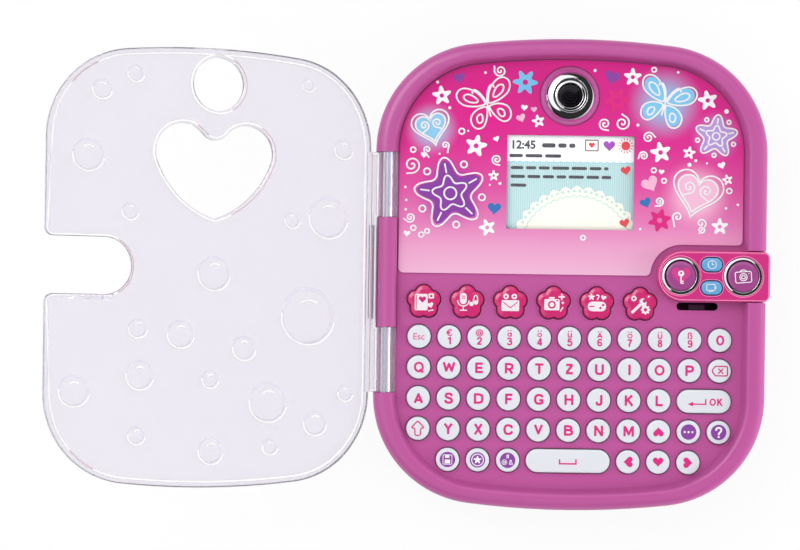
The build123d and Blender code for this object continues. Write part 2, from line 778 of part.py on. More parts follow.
with BuildPart() as latch_solenoid:
    with BuildSketch(Plane.XY.offset(solenoid_floor)):
        with Locations((latch_x, solenoid_y)):
            Rectangle(solenoid_size, solenoid_length)
    extrude(amount=solenoid_height)
    with BuildSketch(Plane.XZ.offset(-solenoid_face)):
        with Locations((latch_x, plunger_height)):
            Circle(plunger_radius + plunger_gap)
    extrude(amount=solenoid_length / 2 + 1.5 * bolt_travel, mode=Mode.SUBTRACT)
latch_solenoid.part.label = "latch_solenoid"
export_step(latch_solenoid.part, "parts/latch_solenoid.step")

# ---- Panel, screen and camera -------------------------------------------------------

with BuildPart() as printed_panel:
    with BuildSketch(Plane.XY.offset(deck_height)) as panel_face:
        add(recess_outline(-panel_gap))
        with Locations((0, -half_height / 2)):
            Rectangle(case_width, half_height, mode=Mode.SUBTRACT)
        add(pod_outline(pod_surround, half_width), mode=Mode.SUBTRACT)
        fillet(panel_face.vertices().group_by(Axis.Y)[0], panel_corner)
        fillet(panel_face.vertices().group_by(Axis.X)[-1].sort_by(Axis.Y)[0], panel_corner)
        with Locations((screen_x, screen_y)):
            Rectangle(screen_width, screen_height, mode=Mode.SUBTRACT)
        with Locations((camera_x, camera_y)):
            Circle(camera_base_radius + panel_gap, mode=Mode.SUBTRACT)
    extrude(amount=panel_thickness)
printed_panel.part.label = "printed_panel"
export_step(printed_panel.part, "parts/printed_panel.step")

with BuildPart() as screen_window:
    with BuildSketch(Plane.XY.offset(deck_height - window_thickness)):
        with Locations((screen_x, screen_y)):
            Rectangle(screen_width + 2 * window_margin, screen_height + 2 * window_margin)
    extrude(amount=window_thickness)
screen_window.part.label = "screen_window"
export_step(screen_window.part, "parts/screen_window.step")

with BuildPart() as display_module:
    with BuildSketch(Plane.XY.offset(board_top)):
        with Locations((screen_x, screen_y)):
            Rectangle(screen_width + 2 * module_margin, screen_height + 2 * module_margin)
    extrude(amount=deck_underside - board_top)
    with BuildSketch(Plane.XY.offset(deck_underside)):
        with Locations((screen_x, screen_y)):
            Rectangle(screen_width + 2 * glass_margin, screen_height + 2 * glass_margin)
    extrude(amount=deck_thickness - window_thickness - glass_gap)
display_module.part.label = "display_module"
export_step(display_module.part, "parts/display_module.step")

camera_plane = Plane(origin=(camera_x, camera_y, 0), x_dir=(1, 0, 0), z_dir=(0, -1, 0))
camera_axis = Axis((camera_x, camera_y, 0), (0, 0, 1))
collar_top = deck_height + camera_ring_height
barrel_top = collar_top - bezel_depth
bezel_top = collar_top + bezel_rise

with BuildPart() as camera_module:
    with BuildSketch(Plane.XY.offset(board_top)):
        with Locations((camera_x, camera_y)):
            Rectangle(camera_cube, camera_cube)
    extrude(amount=deck_underside - board_top)
    with BuildSketch(Plane.XY.offset(deck_underside)):
        with Locations((camera_x, camera_y)):
            Circle(camera_bore_radius - panel_gap)
    extrude(amount=barrel_top - deck_underside)
camera_module.part.label = "camera_module"
export_step(camera_module.part, "parts/camera_module.step")

lens_top = bezel_top - lens_drop

with BuildPart() as camera_bezel:
    with BuildSketch(camera_plane):
        with BuildLine():
            Polyline(
                (bezel_radius, bezel_top - bezel_chamfer),
                (bezel_radius, collar_top),
                (camera_bore_radius - bezel_gap, collar_top),
                (camera_bore_radius - bezel_gap, barrel_top),
                (lens_radius + bezel_gap, barrel_top),
                (lens_radius + bezel_gap, lens_top),
                (lens_radius + bezel_gap + bezel_land, lens_top),
                (bezel_radius - bezel_chamfer - bezel_lip, bezel_top),
                (bezel_radius - bezel_chamfer, bezel_top),
                (bezel_radius, bezel_top - bezel_chamfer),
            )
        make_face()
    revolve(axis=camera_axis)
camera_bezel.part.label = "camera_bezel"
export_step(camera_bezel.part, "parts/camera_bezel.step")

dome_radius = (lens_radius**2 + lens_dome**2) / (2 * lens_dome)

with BuildPart() as camera_lens:
    with BuildSketch(camera_plane):
        with BuildLine():
            Polyline((0, lens_top), (0, barrel_top), (lens_radius, barrel_top))
            Line((lens_radius, barrel_top), (lens_radius, lens_top - lens_dome))
            RadiusArc((lens_radius, lens_top - lens_dome), (0, lens_top), -dome_radius)
        make_face()
    revolve(axis=camera_axis)
camera_lens.part.label = "camera_lens"
export_step(camera_lens.part, "parts/camera_lens.step")

# ---- Button pod ---------------------------------------------------------------------


def pod_body_outline():
    """The pod from above, with its outer corners rounded."""
    with BuildSketch() as outline:
        add(pod_outline(0, pod_right))
        fillet(outline.vertices().group_by(Axis.X)[-1], pod_corner)
    return outline.sketch


round_buttons = [(unlock_x, unlock_radius), (shutter_x, shutter_radius)]
pill_places = [(pill_x, pill_spread), (pill_x, -pill_spread)]

with BuildPart() as button_pod:
    with BuildSketch(Plane.XY.offset(deck_height)):
        add(pod_body_outline())
    extrude(amount=case_depth - deck_height)
    fillet(button_pod.faces().sort_by(Axis.Z)[-1].edges(), pod_rounding)
    with BuildSketch(Plane.XY.offset(deck_height)):
        add(pod_outline(-pod_wall, pod_right - pod_end_wall))
    extrude(amount=pod_ceiling - deck_height, mode=Mode.SUBTRACT)
    # The outer wall that closes the notch in the case's side
    with BuildSketch(Plane.XY.offset(pod_foot)):
        add(pod_body_outline())
        with Locations((pod_right, 0)):
            Rectangle(2 * pod_end_wall, 3 * pod_half_width, mode=Mode.INTERSECT)
    extrude(amount=deck_height - pod_foot)
    with BuildSketch(Plane.XY.offset(pod_ceiling)):
        for button_x, radius in round_buttons:
            with Locations((button_x, 0)):
                Circle(radius + button_gap)
        with Locations(*pill_places):
            SlotOverall(pill_length + 2 * button_gap, pill_width + 2 * button_gap)
    extrude(amount=pod_roof, mode=Mode.SUBTRACT)
    with BuildSketch(Plane.XY.offset(case_depth - button_ring_depth)):
        for button_x, radius in round_buttons:
            with Locations((button_x, 0)):
                Circle(radius + button_gap + button_ring_width)
    extrude(amount=button_ring_depth, mode=Mode.SUBTRACT)
button_pod.part.label = "button_pod"
export_step(button_pod.part, "parts/button_pod.step")

for label, (button_x, radius) in zip(("unlock_ring", "shutter_ring"), round_buttons):
    with BuildPart() as button_ring:
        with BuildSketch(Plane.XY.offset(case_depth - button_ring_depth)):
            with Locations((button_x, 0)):
                Circle(radius + button_gap + button_ring_width)
                Circle(radius + button_gap, mode=Mode.SUBTRACT)
        extrude(amount=button_ring_depth + button_ring_rise)
    button_ring.part.label = label
    export_step(button_ring.part, f"parts/{label}.step")

pod_bar_top = pod_ceiling - bar_gap


def pod_button(label, place, width, depth):
    """A button of the pod: a round or long cap, a retaining bar and a stem."""
    bar_x = bar_width if width == depth else width + 2 * pod_bar_reach
    bar_y = depth + 2 * pod_bar_reach if width == depth else bar_width
    with BuildPart() as button:
        with BuildSketch(Plane.XY.offset(pod_bar_top - bar_thickness)):
            with Locations(place):
                if width == depth:
                    Circle(width / 2)
                else:
                    SlotOverall(width, depth)
        extrude(amount=case_depth + button_rise - pod_bar_top + bar_thickness)
        with BuildSketch(Plane.XY.offset(pod_bar_top - bar_thickness)):
            with Locations(place):
                Rectangle(bar_x, bar_y)
        extrude(amount=bar_thickness)
        with BuildSketch(Plane.XY.offset(key_foot)):
            with Locations(place):
                Rectangle(bar_width, bar_width)
        extrude(amount=pod_bar_top - bar_thickness - key_foot)
    button.part.label = label
    export_step(button.part, f"parts/{label}.step")


pod_button("unlock_button", (unlock_x, 0), 2 * unlock_radius, 2 * unlock_radius)
pod_button("shutter_button", (shutter_x, 0), 2 * shutter_radius, 2 * shutter_radius)
pod_button("clock_button", pill_places[0], pill_length, pill_width)
pod_button("gallery_button", pill_places[1], pill_length, pill_width)

# ---- Keys and flower buttons --------------------------------------------------------


def key_set(label, places, length=key_diameter):
    """Keys of one moulding: caps through the deck, held in by slanted bars at their feet."""
    spread = (length - key_diameter) / 2
    sides = (-1, 1) if spread > 0 else (0,)
    with BuildPart() as keys:
        with BuildSketch(Plane.XY.offset(key_foot)):
            with Locations(*places):
                if spread > 0:
                    SlotOverall(length, key_diameter)
                else:
                    Circle(key_diameter / 2)
        extrude(amount=key_top - key_foot)
        with BuildSketch(Plane.XY.offset(key_foot)):
            with Locations(*[(x + side * spread, y) for x, y in places for side in sides]):
                Rectangle(bar_length, bar_width, rotation=45)
        extrude(amount=bar_thickness)
    keys.part.label = label
    export_step(keys.part, f"parts/{label}.step")


key_set("digit_keys", [key_place(0, column) for column in range(1, 11)])
key_set("upper_letter_keys", [key_place(1, column) for column in range(10)])
key_set("home_letter_keys", [key_place(2, column) for column in range(9)])
key_set("lower_letter_keys", [key_place(3, column) for column in range(1, 8)])
key_set("enter_key", [enter_place], enter_length)
key_set("space_key", [space_place], space_length)
single_keys = {
    "escape_key": (0, 0),
    "delete_key": (1, 10),
    "shift_key": (3, 0),
    "up_key": (3, 8),
    "more_key": (3, 9),
    "help_key": (3, 10),
    "save_key": (4, 1),
    "faces_key": (4, 2),
    "signs_key": (4, 3),
    "left_key": (4, 7),
    "down_key": (4, 8),
    "right_key": (4, 9),
}
for label, (row, column) in single_keys.items():
    key_set(label, [key_place(row, column)])

flower_names = ["diary", "voice", "contacts", "photos", "games", "tools"]
for flower_name, place in zip(flower_names, flower_places):
    with BuildPart() as flower_button:
        with BuildSketch(Plane.XY.offset(key_foot)):
            with Locations(place):
                add(flower_outline(0))
        extrude(amount=key_top - key_foot)
        with BuildSketch(Plane.XY.offset(key_foot)):
            with Locations(place):
                Rectangle(bar_width, 2 * (petal_orbit + petal_radius + bar_reach))
        extrude(amount=bar_thickness)
    flower_button.part.label = f"{flower_name}_button"
    export_step(flower_button.part, f"parts/{flower_name}_button.step")

# ---- Board, membrane, speaker and microphone ----------------------------------------


def latch_gap():
    """The opening that the board and the membrane leave for the hook and the bolt."""
    low_y = bolt_face - bolt_blade - bolt_travel - 2 * latch_clearance
    high_y = latch_y + hook_thickness / 2 + latch_clearance
    with BuildSketch() as gap:
        with Locations((latch_x, (low_y + high_y) / 2)):
            Rectangle(hook_length + 2 * latch_clearance, high_y - low_y)
    return gap.sketch


with BuildPart() as main_board:
    with BuildSketch(Plane.XY.offset(board_floor)):
        add(case_outline(board_inset))
        with Locations(*boss_places):
            Circle(boss_radius + panel_gap, mode=Mode.SUBTRACT)
        add(latch_gap(), mode=Mode.SUBTRACT)
    extrude(amount=board_thickness)
    # The processor and the memory on its back, each side of the screen
    with BuildSketch(Plane.XY.offset(board_floor - chip_thickness)):
        with Locations((screen_x, screen_y)):
            with GridLocations(2 * chip_spread, 0, 2, 1):
                Rectangle(chip_size, chip_size)
    extrude(amount=chip_thickness)
main_board.part.label = "main_board"
export_step(main_board.part, "parts/main_board.step")

pads = round_holes + flower_places + pill_places
pads += [(button_x, 0) for button_x, radius in round_buttons]
for (middle_x, middle_y), length in ((enter_place, enter_length), (space_place, space_length)):
    spread = (length - key_diameter) / 2
    pads += [(middle_x - spread, middle_y), (middle_x + spread, middle_y)]

with BuildPart() as keypad_membrane:
    with BuildSketch(Plane.XY.offset(board_top)):
        add(case_outline(board_inset + membrane_inset))
        with Locations((0, membrane_edge_y + half_height)):
            Rectangle(case_width, case_height, mode=Mode.SUBTRACT)
        with Locations(((unlock_x + shutter_x) / 2, membrane_edge_y / 2)):
            Rectangle(shutter_x - unlock_x + pad_size, 4 * pad_size)
        with Locations(*boss_places):
            Circle(boss_radius + panel_gap, mode=Mode.SUBTRACT)
        add(latch_gap(), mode=Mode.SUBTRACT)
    extrude(amount=membrane_thickness)
    with BuildSketch(Plane.XY.offset(membrane_top)):
        with Locations(*pads):
            Rectangle(pad_size, pad_size)
    extrude(amount=pad_top - membrane_top)
keypad_membrane.part.label = "keypad_membrane"
export_step(keypad_membrane.part, "parts/keypad_membrane.step")

speaker_plane = Plane(origin=(speaker_x, speaker_y, 0), x_dir=(1, 0, 0), z_dir=(0, -1, 0))
with BuildPart() as speaker:
    with BuildSketch(speaker_plane):
        with BuildLine():
            Polyline(
                (0, shell_wall + speaker_depth),
                (0, shell_wall + cone_depth),
                (speaker_radius - speaker_rim, shell_wall),
                (speaker_radius, shell_wall),
                (speaker_radius, shell_wall + speaker_rim),
                (magnet_radius, shell_wall + speaker_rim),
                (magnet_radius, shell_wall + speaker_depth),
                (0, shell_wall + speaker_depth),
            )
        make_face()
    revolve(axis=Axis((speaker_x, speaker_y, 0), (0, 0, 1)))
speaker.part.label = "speaker"
export_step(speaker.part, "parts/speaker.step")

with BuildPart() as microphone:
    with BuildSketch(Plane.XY.offset(board_top)):
        with Locations((microphone_x, microphone_y)):
            Circle(microphone_radius)
    extrude(amount=deck_underside - board_top)
microphone.part.label = "microphone"
export_step(microphone.part, "parts/microphone.step")

# ---- Battery bay --------------------------------------------------------------------

with BuildPart() as battery_door:
    with BuildSketch():
        with Locations((0, door_middle_y)):
            RectangleRounded(door_length, door_width, door_corner - door_gap)
    extrude(amount=door_thickness)
    with BuildSketch():
        with Locations((0, door_screw_y)):
            Circle(screw_head_radius + shank_gap)
    extrude(amount=door_thickness - door_web, mode=Mode.SUBTRACT)
    with BuildSketch():
        with Locations((0, door_screw_y)):
            Circle(screw_radius + shank_gap)
    extrude(amount=door_thickness, mode=Mode.SUBTRACT)
battery_door.part.label = "battery_door"
export_step(battery_door.part, "parts/battery_door.step")

with BuildPart() as batteries:
    with BuildSketch(Plane.YZ.offset(-cell_length / 2)):
        with Locations((bay_middle_y, cell_height)):
            with GridLocations(cell_diameter + cell_gap, 0, cell_count, 1):
                Circle(cell_diameter / 2)
    extrude(amount=cell_length)
batteries.part.label = "batteries"
export_step(batteries.part, "parts/batteries.step")

with BuildPart() as battery_contacts:
    for side in (-1, 1):
        contact_plane = Plane(
            origin=(side * bay_length / 2, bay_middle_y, cell_height),
            x_dir=(0, 1, 0),
            z_dir=(-side, 0, 0),
        )
        with BuildSketch(contact_plane):
            with GridLocations(cell_diameter + cell_gap, 0, cell_count, 1):
                Rectangle(cell_diameter - 2 * cell_gap, cell_diameter - 2 * cell_gap)
        extrude(amount=contact_plate)
        with BuildSketch(contact_plane.offset(contact_plate)):
            with GridLocations(cell_diameter + cell_gap, 0, cell_count, 1):
                Circle(contact_radius)
        extrude(amount=contact_depth - contact_plate)
battery_contacts.part.label = "battery_contacts"
export_step(battery_contacts.part, "parts/battery_contacts.step")

# ---- Screws -------------------------------------------------------------------------


def screw_set(label, places, head_floor, head_height, length):
    """Screws that stand head down: a round head and a plain shank."""
    with BuildPart() as screws:
        with BuildSketch(Plane.XY.offset(head_floor)):
            with Locations(*places):
                Circle(screw_head_radius)
        extrude(amount=head_height)
        with BuildSketch(Plane.XY.offset(head_floor + head_height)):
            with Locations(*places):
                Circle(screw_radius)
        extrude(amount=length)
    screws.part.label = label
    export_step(screws.part, f"parts/{label}.step")


screw_set("case_screws", boss_places, screw_head_seat, screw_head_height, screw_length)
door_head_height = door_thickness - door_web - door_gap
screw_set("door_screw", [(0, door_screw_y)], door_gap, door_head_height, door_screw_length)
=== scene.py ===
import random
from math import atan2, cos, pi, radians, sin, sqrt

import bpy
from mathutils import Matrix, Vector


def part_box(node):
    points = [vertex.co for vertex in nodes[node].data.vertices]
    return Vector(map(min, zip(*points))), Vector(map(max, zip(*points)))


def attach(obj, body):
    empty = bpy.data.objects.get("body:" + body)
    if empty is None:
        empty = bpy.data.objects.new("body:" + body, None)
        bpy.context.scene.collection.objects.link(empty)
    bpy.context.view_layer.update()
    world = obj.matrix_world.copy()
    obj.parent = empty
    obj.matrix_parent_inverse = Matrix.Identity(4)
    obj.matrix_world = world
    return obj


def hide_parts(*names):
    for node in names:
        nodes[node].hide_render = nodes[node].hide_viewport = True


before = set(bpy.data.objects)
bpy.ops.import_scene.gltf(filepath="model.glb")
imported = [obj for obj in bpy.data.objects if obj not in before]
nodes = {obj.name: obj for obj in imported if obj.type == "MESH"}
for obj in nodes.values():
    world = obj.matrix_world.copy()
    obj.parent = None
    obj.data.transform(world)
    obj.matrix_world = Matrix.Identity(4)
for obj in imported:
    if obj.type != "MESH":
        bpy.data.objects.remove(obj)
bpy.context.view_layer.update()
mm = 0.001
print("frame loaded")

# Everything is laid out in millimetres in the case's own axes, and mm turns it to metres
case = {
    "deck": 25.4,
    "panelTop": 26.2,
}


# small helpers

def linear(hexColour):
    # sRGB hex to the linear values that Blender's sockets take
    channels = [int(hexColour[i:i + 2], 16) / 255 for i in (1, 3, 5)]
    return [c / 12.92 if c <= 0.04045 else ((c + 0.055) / 1.055) ** 2.4 for c in channels] + [1.0]


def addNode(tree, kind, settings=None, links=None):
    # one node, its settings by attribute or by socket name or number, and its links as socket: output
    made = tree.nodes.new(kind)
    for key, value in (settings or {}).items():
        if isinstance(key, str) and hasattr(made, key):
            setattr(made, key, value)
        else:
            made.inputs[key].default_value = value
    for socket, output in (links or {}).items():
        tree.links.new(output, made.inputs[socket])
    return made


def deselectAll():
    bpy.ops.object.select_all(action="DESELECT")


def makeActive(piece):
    deselectAll()
    piece.select_set(True)
    bpy.context.view_layer.objects.active = piece


def namePiece(name):
    piece = bpy.context.object
    piece.name = name
    piece.data.name = name
    return piece


def linkPiece(name, data):
    piece = bpy.data.objects.new(name, data)
    bpy.context.scene.collection.objects.link(piece)
    return piece


def applyPlace(piece):
    # the object ends at the origin, with its place in its mesh
    makeActive(piece)
    bpy.ops.object.transform_apply(location=True, rotation=True, scale=True)


def toMesh(piece):
    makeActive(piece)
    bpy.ops.object.convert(target="MESH")
    return bpy.context.object


def joinPieces(pieces, name):
    deselectAll()
    for piece in pieces:
        piece.select_set(True)
    bpy.context.view_layer.objects.active = pieces[0]
    if len(pieces) > 1:
        bpy.ops.object.join()
    return namePiece(name)


def applyModifier(piece, kind, **settings):
    makeActive(piece)
    bpy.ops.object.modifier_add(type=kind)
    modifier = piece.modifiers[-1]
    for key, value in settings.items():
        setattr(modifier, key, value)
    bpy.ops.object.modifier_apply(modifier=modifier.name)


def smooth(piece, angle=35):
    makeActive(piece)
    bpy.ops.object.shade_smooth_by_angle(angle=radians(angle))


def setMaterial(piece, material):
    piece.data.materials.clear()
    piece.data.materials.append(material)


def finishPiece(piece, material, body, replaced=()):
    applyPlace(piece)
    setMaterial(piece, material)
    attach(piece, body)
    if replaced:
        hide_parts(*replaced)


# shaping helpers

def leaveEdit():
    bpy.ops.object.mode_set(mode="OBJECT")


def pick(piece, kind, test):
    # into edit mode with only the faces or points that pass the test selected
    makeActive(piece)
    bpy.ops.object.mode_set(mode="EDIT")
    bpy.ops.mesh.select_mode(type=kind)
    bpy.ops.mesh.select_all(action="DESELECT")
    leaveEdit()
    for element in piece.data.polygons if kind == "FACE" else piece.data.vertices:
        element.select = test(element)
    bpy.ops.object.mode_set(mode="EDIT")


def faceOutward(piece, weld=0.0):
    # every face turned outward, after points nearer than the weld are made one
    makeActive(piece)
    bpy.ops.object.mode_set(mode="EDIT")
    bpy.ops.mesh.select_all(action="SELECT")
    if weld:
        bpy.ops.mesh.remove_doubles(threshold=weld * mm)
    bpy.ops.mesh.normals_make_consistent(inside=False)
    leaveEdit()


def shiftPiece(piece, x, y):
    piece.data.transform(Matrix.Translation(Vector((x, y, 0)) * mm))


def copyPiece(piece, name, x, y):
    twin = linkPiece(name, piece.data.copy())
    twin.data.name = name
    shiftPiece(twin, x, y)
    return twin


def discard(piece):
    bpy.data.objects.remove(piece)


def wirePiece(name, points, edges=(), faces=()):
    # a bare mesh in millimetres, for a profile or a strip of loops
    mesh = bpy.data.meshes.new(name)
    mesh.from_pydata([Vector(p) * mm for p in points], list(edges), list(faces))
    return linkPiece(name, mesh)


def turned(name, profile, centre, steps=64, closed=True, weld=0.002):
    # a lathe-turned piece: (radius, height) points spun about its own axis
    count = len(profile)
    edges = [(n, n + 1) for n in range(count - 1)] + ([(count - 1, 0)] if closed else [])
    piece = wirePiece(name, [(r, 0, z) for r, z in profile], edges)
    applyModifier(piece, "SCREW", angle=2 * pi, steps=steps, render_steps=steps, axis="Z",
                  use_merge_vertices=True, merge_threshold=weld * mm)
    faceOutward(piece, weld)
    shiftPiece(piece, *centre)
    smooth(piece, 40)
    return piece


crownInset = 0.6
crownSteps = (0.7, 0.3)  # the crown rises in two steps, as shares of its height


def cap(name, radius, foot, top, bevel, crown, stretch=0.0, outline=None, sides=48):
    # a moulded button cap round the origin: rounded edge, faint crown, stretched where it is long
    deselectAll()
    bpy.ops.mesh.primitive_cylinder_add(
        vertices=sides, radius=radius * mm, depth=(top - crown - foot) * mm,
        location=(0, 0, (top - crown + foot) / 2 * mm), rotation=(0, 0, pi / sides))
    piece = namePiece(name)
    applyPlace(piece)
    if outline:
        for point in piece.data.vertices:
            reach = outline(atan2(point.co.y, point.co.x)) * mm
            point.co.xy = point.co.xy.normalized() * reach
    level = (top - crown) * mm

    def isTop(face):
        return face.normal.z > 0.99 and abs(face.center.z - level) < 0.001 * mm

    pick(piece, "FACE", isTop)
    bpy.ops.mesh.bevel(offset=bevel * mm, segments=3, profile=0.5, affect="EDGES")
    leaveEdit()
    pick(piece, "FACE", isTop)
    for share in crownSteps:
        bpy.ops.mesh.inset(thickness=crownInset * mm)
        bpy.ops.transform.translate(value=(0, 0, crown * share * mm))
    leaveEdit()
    if stretch:
        for side in (1, -1):
            pick(piece, "VERT", lambda point: point.co.x * side > 0)
            bpy.ops.transform.translate(value=(side * stretch / 2 * mm, 0, 0))
            leaveEdit()
    smooth(piece, 32)
    return piece


def bar(name, length, width, foot, turn=0.0, centreX=0.0):
    # the flange under a cap that keeps it in the case, its edges eased
    top = foot + keys["barThickness"]
    deselectAll()
    bpy.ops.mesh.primitive_cube_add(size=1, location=(centreX * mm, 0, (foot + top) / 2 * mm),
                                    rotation=(0, 0, turn), scale=(length * mm, width * mm, (top - foot) * mm))
    piece = namePiece(name)
    applyPlace(piece)
    applyModifier(piece, "BEVEL", width=0.15 * mm, segments=2)
    return piece


# flat inks: filled shapes and line work in millimetres, a few hundredths thick

inkThickness = 0.03


def layInk(piece, material, body, turnTo=None):
    if turnTo:
        piece.data.transform(turnTo)
    finishPiece(piece, material, body)


def setHeight(piece, height, first=Matrix()):
    # a drawing in millimetres turned to metres and laid at its height
    piece.data.transform(Matrix.Translation((0, 0, height * mm)) @ Matrix.Scale(mm, 4) @ first)


def addSpline(data, kind, points, closed):
    spline = data.splines.new(kind)
    spline.points.add(len(points) - 1)
    for point, (x, y) in zip(spline.points, points):
        point.co = (x, y, 0, 1)
    spline.use_cyclic_u = closed
    return spline


def filledShapes(name, outlines, height):
    # closed outlines as one flat filled curve, made a thin mesh at a height; inner outlines are holes
    data = bpy.data.curves.new(name, "CURVE")
    data.dimensions = "2D"
    data.fill_mode = "BOTH"
    data.extrude = inkThickness / 2
    for outline in outlines:
        addSpline(data, "POLY", outline, True)
    piece = toMesh(linkPiece(name, data))
    setHeight(piece, height)
    return namePiece(name)


def lineWork(name, paths, width, height):
    # open or closed strokes (points, closed) of one width, pressed flat at a height
    data = bpy.data.curves.new(name, "CURVE")
    data.dimensions = "3D"
    data.bevel_depth = width / 2
    data.bevel_resolution = 1
    data.use_fill_caps = True
    data.resolution_u = 5
    for points, closed in paths:
        spline = addSpline(data, "NURBS", points, closed)
        spline.order_u = 3
        spline.use_endpoint_u = not closed
    piece = toMesh(linkPiece(name, data))
    setHeight(piece, height, Matrix.Diagonal((1, 1, inkThickness / width, 1)))
    return namePiece(name)


def words(name, text, letterHeight, bold, place, height):
    # plain capitals and figures as flat mesh, centred on a place
    deselectAll()
    bpy.ops.object.text_add()
    piece = namePiece(name)
    piece.data.body = text
    piece.data.size = letterHeight / 0.7
    piece.data.offset = bold
    piece.data.extrude = inkThickness / 2
    piece.data.resolution_u = 4
    piece = toMesh(piece)
    across = [point.co.x for point in piece.data.vertices]
    up = [point.co.y for point in piece.data.vertices]
    shift = (place[0] - (min(across) + max(across)) / 2, place[1] - (min(up) + max(up)) / 2, 0)
    setHeight(piece, height, Matrix.Translation(shift))
    return namePiece(name)


def moved(points, place, size=1.0, turn=0.0):
    c, s = cos(turn), sin(turn)
    return [(place[0] + size * (x * c - y * s), place[1] + size * (x * s + y * c)) for x, y in points]


def around(place, radius, angle):
    return (place[0] + radius * cos(angle), place[1] + radius * sin(angle))


def pairs(points):
    # each point with the next one, round a closed outline
    return zip(points, points[1:] + points[:1])


def roundel(place, radius, count=28):
    return [around(place, radius, 2 * pi * n / count) for n in range(count)]


def heartShape(place, width, turn=0.0, count=36):
    # the usual heart, tip down at turn 0, one unit wide
    points = []
    for n in range(count):
        t = 2 * pi * n / count
        x = 16 * sin(t) ** 3
        y = 13 * cos(t) - 5 * cos(2 * t) - 2 * cos(3 * t) - cos(4 * t)
        points.append((x / 32, (y + 2.5) / 32))
    return moved(points, place, width, turn)


def starShape(place, radius, arms=5, inner=0.5, turn=0.0):
    # a soft star with blunted arms
    count = arms * 8
    points = []
    for n in range(count):
        swing = 0.5 + 0.5 * cos(2 * pi * n * arms / count)
        reach = inner + (1 - inner) * swing ** 1.4
        points.append((reach * sin(2 * pi * n / count), reach * cos(2 * pi * n / count)))
    return moved(points, place, radius, turn)


def curl(place, radius, turns, start, hand, tail):
    # a spiral that opens to its radius, with a straight tail where it leaves
    count = int(12 * turns) + 4
    points = []
    for n in range(count):
        share = n / (count - 1)
        points.append(around(place, radius * share ** 0.8, start + hand * 2 * pi * turns * share))
    last, before = Vector(points[-1]), Vector(points[-3])
    points.append(tuple(last + (last - before).normalized() * tail))
    return (points, False)


def arc(place, radius, start, end, count=9):
    return ([around(place, radius, start + (end - start) * n / (count - 1)) for n in range(count)], False)


def roundedBox(place, width, depth, corner=0.4, turn=0.0, count=4):
    points = []
    for sx, sy, first in ((1, 1, 0), (-1, 1, 90), (-1, -1, 180), (1, -1, 270)):
        for n in range(count + 1):
            angle = radians(first + 90 * n / count)
            points.append((sx * (width / 2 - corner) + corner * cos(angle),
                           sy * (depth / 2 - corner) + corner * sin(angle)))
    return moved(points, place, 1.0, turn)


print("helpers ready")


# camera, lamps, floor and world

stage = {
    "cameraAt": (-65.8, -23.06, 1036.4),  # above the case's hinge side, a little towards the keys
    "cameraRoll": 0.78,
    "cameraShift": 0.0709,
    "lens": 117.0,
    "sensor": 36.0,
    "lamps": {
        # name: (place in m, aim in m, size in m, watts)
        "keyLamp": ((-0.75, 0.65, 1.15), (-0.05, 0, 0), 0.9, 8.4),
        "fillLamp": ((0.9, -0.3, 1.1), (-0.05, 0, 0), 1.2, 3.9),
        "topLamp": ((-0.05, -0.9, 1.2), (-0.05, 0, 0), 1.0, 3.8),
        "sideLamp": ((1.1, -0.15, 0.28), (0.06, 0, 0.02), 0.6, 7.5),
    },
    "floorSize": 6.0,
    "floorLevel": -0.0002,
    "floorGlow": 0.9,
}


def makeCameraAndLamps():
    camera = bpy.data.cameras.new("viewCamera")
    camera.lens = stage["lens"]
    camera.sensor_width = stage["sensor"]
    camera.shift_y = stage["cameraShift"]
    camera.clip_end = 20
    holder = linkPiece("viewCamera", camera)
    holder.location = Vector(stage["cameraAt"]) * mm
    holder.rotation_euler = (0, 0, radians(stage["cameraRoll"]))
    bpy.context.scene.camera = holder
    for name, (place, aim, size, watts) in stage["lamps"].items():
        light = bpy.data.lights.new(name, "AREA")
        light.shape = "SQUARE"
        light.size = size
        light.energy = watts
        lamp = linkPiece(name, light)
        lamp.location = place
        lamp.rotation_euler = (Vector(aim) - Vector(place)).to_track_quat("-Z", "Y").to_euler()
        lamp.visible_glossy = name == "keyLamp"
    print("camera and lamps placed")


def makeFloor():
    # the floor is a white studio sweep: it glows to the camera and keeps the shadow
    deselectAll()
    bpy.ops.mesh.primitive_plane_add(size=stage["floorSize"], location=(0, 0, stage["floorLevel"]))
    floor = namePiece("studioFloor")
    paper = bpy.data.materials.new("matt white studio paper")
    paper.use_nodes = True
    tree = paper.node_tree
    tree.nodes.clear()
    coords = addNode(tree, "ShaderNodeTexCoord")
    grain = addNode(tree, "ShaderNodeTexNoise", {"Scale": 900.0}, {"Vector": coords.outputs["Object"]})
    tint = addNode(tree, "ShaderNodeMix", {"data_type": "RGBA", 6: linear("#f6f6f8"), 7: linear("#f1f1f4")},
                   {"Factor": grain.outputs["Fac"]})
    matt = addNode(tree, "ShaderNodeBsdfDiffuse", {"Roughness": 0.4}, {"Color": tint.outputs[2]})
    glow = addNode(tree, "ShaderNodeEmission", {"Color": (1, 1, 1, 1), "Strength": 1.0})
    rays = addNode(tree, "ShaderNodeLightPath")
    direct = addNode(tree, "ShaderNodeMath", {"operation": "MAXIMUM"},
                     {0: rays.outputs["Is Camera Ray"], 1: rays.outputs["Is Glossy Ray"]})
    seen = addNode(tree, "ShaderNodeMath", {"operation": "MAXIMUM"},
                   {0: direct.outputs[0], 1: rays.outputs["Is Transmission Ray"]})
    share = addNode(tree, "ShaderNodeMath", {"operation": "MULTIPLY", 1: stage["floorGlow"]},
                    {0: seen.outputs[0]})
    mixed = addNode(tree, "ShaderNodeMixShader", None,
                    {0: share.outputs[0], 1: matt.outputs[0], 2: glow.outputs[0]})
    addNode(tree, "ShaderNodeOutputMaterial", None, {"Surface": mixed.outputs[0]})
    setMaterial(floor, paper)
    print("floor laid")


